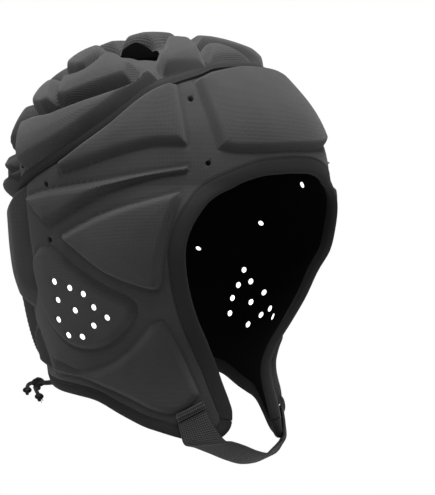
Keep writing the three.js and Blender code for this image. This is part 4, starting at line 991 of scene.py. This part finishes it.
# Fold at a strap's end: distance along the strap and height over its foot
FOLD_SECTION = [
    (0.0, 0.5), (0.15, 1.6), (0.6, 2.2), (1.1, 2.35), (1.35, 1.9), (1.6, 2.35), (2.5, 2.45),
    (3.4, 2.35), (3.65, 1.9), (3.9, 2.35), (4.5, 2.1), (4.9, 1.5), (5.0, 0.5), (4.8, 0.05),
    (0.2, 0.05),
]
FOLD_LIFT = 1.7
FOLD_START = 0.5


def strap_fold(name, side, end, beyond):
    """Folded and sewn end: its section carried across the strap on the flap, a little lower
    at both edges of the strap."""
    share = np.linspace(0, 1, 24)
    end, beyond = np.array(end) * (1, FULL_FALL), np.array(beyond) * (1, FULL_FALL)
    here = end[0] + share[:, None] * (end[1] - end[0])
    ahead = beyond[0] + share[:, None] * (beyond[1] - beyond[0])
    scale = degree_length(here[:, 0], here[:, 1])
    way = ahead - here
    length = np.hypot(way[:, 0] * scale, way[:, 1])
    rings = []
    for along, height in FOLD_SECTION:
        spot = here - way * ((along + FOLD_START) / length)[:, None]
        bulge = FOLD_LIFT + height * (1 - 0.25 * np.abs(2 * share - 1) ** 6)
        rings.append(side_point(side * spot[:, 0], spot[:, 1], bulge))
    return swept(name, np.stack(rings, 1))


TAIL_ROUTES = [
    [[-4.2, 0, -0.6], [-4.2, 0.1, -5.4], [-3.6, 3, -9.5], [-2.6, 8, -12], [-1.7, 14, -13],
     [-1.5, 20, -13.2], [-1.5, 25, -13.6], [0.6, 30, -14.6], [4.5, 35, -16],
     [9, 39.5, -17.8], [13.5, 43.5, -19.5]],
    [[4.2, 0, -0.6], [4.2, 0.1, -5.4], [3.8, 3.2, -9.8], [2.9, 8.4, -12.6], [2, 14.2, -13.6],
     [1.6, 20, -14], [1.9, 25, -14.8], [5, 29.4, -16.6], [9.6, 33, -18.6], [14.6, 36, -21],
     [19, 38.6, -23.4]],
]


# Materials
def nodes_of(name):
    """New material with its node tree and its shader."""
    made = bpy.data.materials.new(name)
    made.use_nodes = True
    tree = made.node_tree
    shader = tree.nodes["Principled BSDF"]
    return made, tree, shader


def linked(tree, kind, inputs, **settings):
    """Node with its settings, and its inputs linked or set."""
    node = tree.nodes.new(kind)
    for key, value in settings.items():
        setattr(node, key, value)
    for key, value in inputs.items():
        if isinstance(value, bpy.types.NodeSocket):
            tree.links.new(value, node.inputs[key])
        else:
            node.inputs[key].default_value = value
    return node


def maths(tree, operation, a, b=0.0, c=0.0):
    """Result of a math node."""
    return linked(tree, "ShaderNodeMath", {0: a, 1: b, 2: c}, operation=operation).outputs[0]


def shaded(tree, shader, share, dark, light, height, depth, bump):
    """Colour between dark and light by a share, and bump from a height."""
    mix = linked(tree, "ShaderNodeMix", {0: share, 6: (*dark, 1), 7: (*light, 1)},
                 data_type="RGBA")
    tree.links.new(mix.outputs[2], shader.inputs["Base Color"])
    raised = linked(tree, "ShaderNodeBump", {"Strength": bump, "Distance": depth,
                                             "Height": height})
    tree.links.new(raised.outputs[0], shader.inputs["Normal"])


def cloth(name, dark, light, pitch=1.6, bump=0.35, sheen=0.15, contrast=0.4):
    """Fine woven cloth: two crossed sine waves on the piece's own map, in millimetres, give
    the weave's bump and its lighter threads; two noises give slow and fine unevenness."""
    made, tree, shader = nodes_of(name)
    uv = tree.nodes.new("ShaderNodeUVMap")
    uv.uv_map = "UVMap"
    parts = linked(tree, "ShaderNodeSeparateXYZ", {0: uv.outputs[0]})
    plus = maths(tree, "ADD", parts.outputs[0], parts.outputs[1])
    minus = maths(tree, "SUBTRACT", parts.outputs[0], parts.outputs[1])
    waves = [maths(tree, "SINE", maths(tree, "MULTIPLY", way, 2 * math.pi / pitch))
             for way in (plus, minus)]
    weave = maths(tree, "MULTIPLY", *waves)
    fine = linked(tree, "ShaderNodeTexNoise", {"Vector": uv.outputs[0], "Scale": 1.1,
                                               "Detail": 3.0})
    slow = linked(tree, "ShaderNodeTexNoise", {"Vector": uv.outputs[0], "Scale": 0.035,
                                               "Detail": 2.0})
    shade = maths(tree, "ADD", maths(tree, "MULTIPLY", weave, contrast),
                  maths(tree, "ADD", maths(tree, "MULTIPLY", fine.outputs[0], 0.45),
                        maths(tree, "MULTIPLY", slow.outputs[0], 0.45)))
    height = maths(tree, "ADD", weave, maths(tree, "MULTIPLY", fine.outputs[0], 1.2))
    shaded(tree, shader, shade, dark, light, height, 0.0004, bump)
    shader.inputs["Roughness"].default_value = 0.8
    shader.inputs["Sheen Weight"].default_value = sheen
    shader.inputs["Sheen Roughness"].default_value = 0.5
    shader.inputs["Specular IOR Level"].default_value = 0.3
    return made


def plain(name, colour, roughness, specular=0.4, grain=900.0, bump=0.1):
    """Plain finish with a fine grain from noise on Object coordinates."""
    made, tree, shader = nodes_of(name)
    place = tree.nodes.new("ShaderNodeTexCoord")
    noise = linked(tree, "ShaderNodeTexNoise", {"Vector": place.outputs["Object"],
                                                "Scale": grain, "Detail": 2.0})
    dark = tuple(c * 0.8 for c in colour)
    light = tuple(min(1.0, c * 1.15) for c in colour)
    shaded(tree, shader, noise.outputs[0], dark, light, noise.outputs[0], 0.0002, bump)
    shader.inputs["Roughness"].default_value = roughness
    shader.inputs["Specular IOR Level"].default_value = specular
    return made


PANEL_CLOTH = cloth("panel cloth", (0.01, 0.01, 0.0104), (0.04, 0.04, 0.041), bump=0.4)
CROWN_CLOTH = cloth("crown cloth", (0.01, 0.01, 0.0104), (0.046, 0.046, 0.047), pitch=1.7,
                    bump=0.5)
# The tape is a dark cloth, and its colour is darkened further as painted shade of the groove
# between the crown's pads and the side panel.
DARK_TAPE_AND_SHADE_CLOTH = cloth("tape cloth with painted shade", (0.005, 0.005, 0.0053), (0.013, 0.013, 0.0135), pitch=1.2,
                   sheen=0.03)
# The binding is of the panel's cloth; its darker colour is painted shade along the rolled edge.
BINDING_SHADE_CLOTH = cloth("binding cloth with painted shade", (0.005, 0.005, 0.0053), (0.013, 0.013, 0.0135), pitch=1.2,
                   sheen=0.03)
WEBBING = cloth("webbing", (0.003, 0.003, 0.0033), (0.05, 0.05, 0.052), pitch=2.6, bump=0.9,
                contrast=0.6)
CORD = cloth("lace braid", (0.004, 0.004, 0.004), (0.016, 0.016, 0.017), pitch=1.3, bump=0.8,
             sheen=0.05, contrast=0.5)
# Pale foam on the cut walls of some vents: the pale colour is the foam's own, and its white
# emission is a painted glow, light that no lamp gives.
GLOWING_FOAM = plain("pale foam core with painted glow", (0.9, 0.9, 0.89), 0.7)
foam_glow_shader = GLOWING_FOAM.node_tree.nodes["Principled BSDF"]
foam_glow_shader.inputs["Emission Color"].default_value = (1, 1, 1, 1)
foam_glow_shader.inputs["Emission Strength"].default_value = 0.7
INNER = plain("black inner cloth", (0.0025, 0.0025, 0.0027), 0.95, 0.1)
PLASTIC = plain("lock plastic", (0.012, 0.012, 0.013), 0.4)


def finish(piece, materials, slot, *nodes):
    """Give a piece its materials, body and the nodes that it stands for; its slot is not used."""
    for material in materials:
        piece.data.materials.append(material)
    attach(piece, "root")
    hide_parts(*nodes)
    return piece


def tail_tip(path, number):
    """Small knot on a tail's end, with its yarns frayed beyond it."""
    way = path[-1] - path[-4]
    way /= np.linalg.norm(way)
    knot = trefoil(f"tip_knot_{number}", path[-1] + way * TIP_KNOT_AHEAD, *TIP_KNOT)
    yarns = frayed_end(f"yarn_{number}", path[-1] + way * YARNS_AHEAD, way, YARN_LENGTH)
    tip = joined(f"lace_tip_{number}_frayed", [knot, *yarns])
    return finish(tip, [CORD], "lace_cord", f"lace_tip_{number}")


# Cords first
knot_low, knot_high = (np.array(corner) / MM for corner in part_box("lace_knot"))
main_knot = finish(trefoil("lace_knot_cord", (knot_low + knot_high) / 2, *MAIN_KNOT),
                   [CORD], "lace_cord", "lace_knot")
for number, tail_route in enumerate(TAIL_ROUTES, 1):
    tail, tail_path = cord_tube(f"lace_tail_{number}_cord", LOCK_PLACE + np.array(tail_route),
                                LACE_RADIUS, 90)
    finish(tail, [CORD], "lace_cord", f"lace_tail_{number}")
    tip = tail_tip(tail_path, number)
lace, _ = cord_tube("rear_lace_cord", lace_route(), LACE_RADIUS, 520)
finish(lace, [CORD], "lace_cord", "rear_lace")

side = finish(side_panel(), [PANEL_CLOTH, GLOWING_FOAM, INNER], "panel_cloth", "side_panel")
crown = finish(crown_panel(), [CROWN_CLOTH, GLOWING_FOAM, INNER], "crown_cloth", "crown_panel")
finish(seam_tape(), [DARK_TAPE_AND_SHADE_CLOTH], "tape", "crown_seam_tape")
for edge_name, first_row, last_row in (
        ("face_binding", -CHIN_ROW + BINDING_JOIN, CHIN_ROW - BINDING_JOIN),
        ("hem_binding_right", CHIN_ROW + BINDING_JOIN, LAST_ROW),
        ("hem_binding_left", -LAST_ROW, -CHIN_ROW - BINDING_JOIN)):
    finish(binding(f"{edge_name}_cloth", first_row, last_row), [BINDING_SHADE_CLOTH], "binding", edge_name)
finish(chin_strap(), [WEBBING], "webbing", "chin_strap")

for fold_name, fold_node, side_sign, (end_row, next_row) in (
        ("chin_strap_fold", "chin_strap_patch", 1, STRAP_RIGHT[:2]),
        ("chin_strap_tab_fold", "chin_strap_tab", -1, STRAP_LEFT[:-3:-1])):
    pairs = [[row[:2], row[2:]] for row in (end_row, next_row)]
    finish(strap_fold(fold_name, side_sign, *pairs), [WEBBING], "webbing", fold_node)
finish(cord_lock_body(), [PLASTIC], "lock_plastic", "cord_lock")


# Stage and light
WORLD_LIGHT = 0.3


def stage():
    """Pale floor below the cap, and a world that is white to the camera and dimmer as light,
    so that the cap's lower flanks stay in shade."""
    size, level = 0.5, -0.345
    mesh = bpy.data.meshes.new("floor")
    mesh.from_pydata([(-size, -size, level), (size, -size, level), (size, size, level),
                      (-size, size, level)], [], [(0, 1, 2, 3)])
    floor = bpy.data.objects.new("floor", mesh)
    mesh.materials.append(plain("pale floor", (0.5, 0.5, 0.5), 0.9, 0.2, 3.0, 0.0))
    bpy.context.scene.collection.objects.link(floor)
    world = bpy.data.worlds.new("studio")
    world.use_nodes = True
    tree = world.node_tree
    ground = tree.nodes["Background"]
    ground.inputs[0].default_value = (1, 1, 1, 1)
    seen = tree.nodes.new("ShaderNodeLightPath").outputs["Is Camera Ray"]
    tree.links.new(maths(tree, "MULTIPLY_ADD", seen, 1 - WORLD_LIGHT, WORLD_LIGHT),
                   ground.inputs[1])
    bpy.context.scene.world = world
    bpy.context.scene.view_settings.view_transform = "Standard"


def lamp(name, turn, rise, distance, size, power):
    """Square soft light at a turn from the camera and a height, aimed at the cap's middle."""
    data = bpy.data.lights.new(name, "AREA")
    data.size = size
    data.energy = power
    made = bpy.data.objects.new(name, data)
    a, e = VIEW_TURN + math.radians(turn), math.radians(rise)
    way = Vector((math.sin(a) * math.cos(e), -math.cos(a) * math.cos(e), math.sin(e)))
    made.location = way * distance + Vector((0, 0, -0.1))
    made.rotation_euler = way.to_track_quat("Z", "Y").to_euler()
    bpy.context.scene.collection.objects.link(made)


stage()
lamp("key", 15, 60, 1.2, 0.8, 16.5)
lamp("fill", -55, 35, 1.6, 1.0, 8)
lamp("top", 180, 78, 1.3, 0.8, 14)
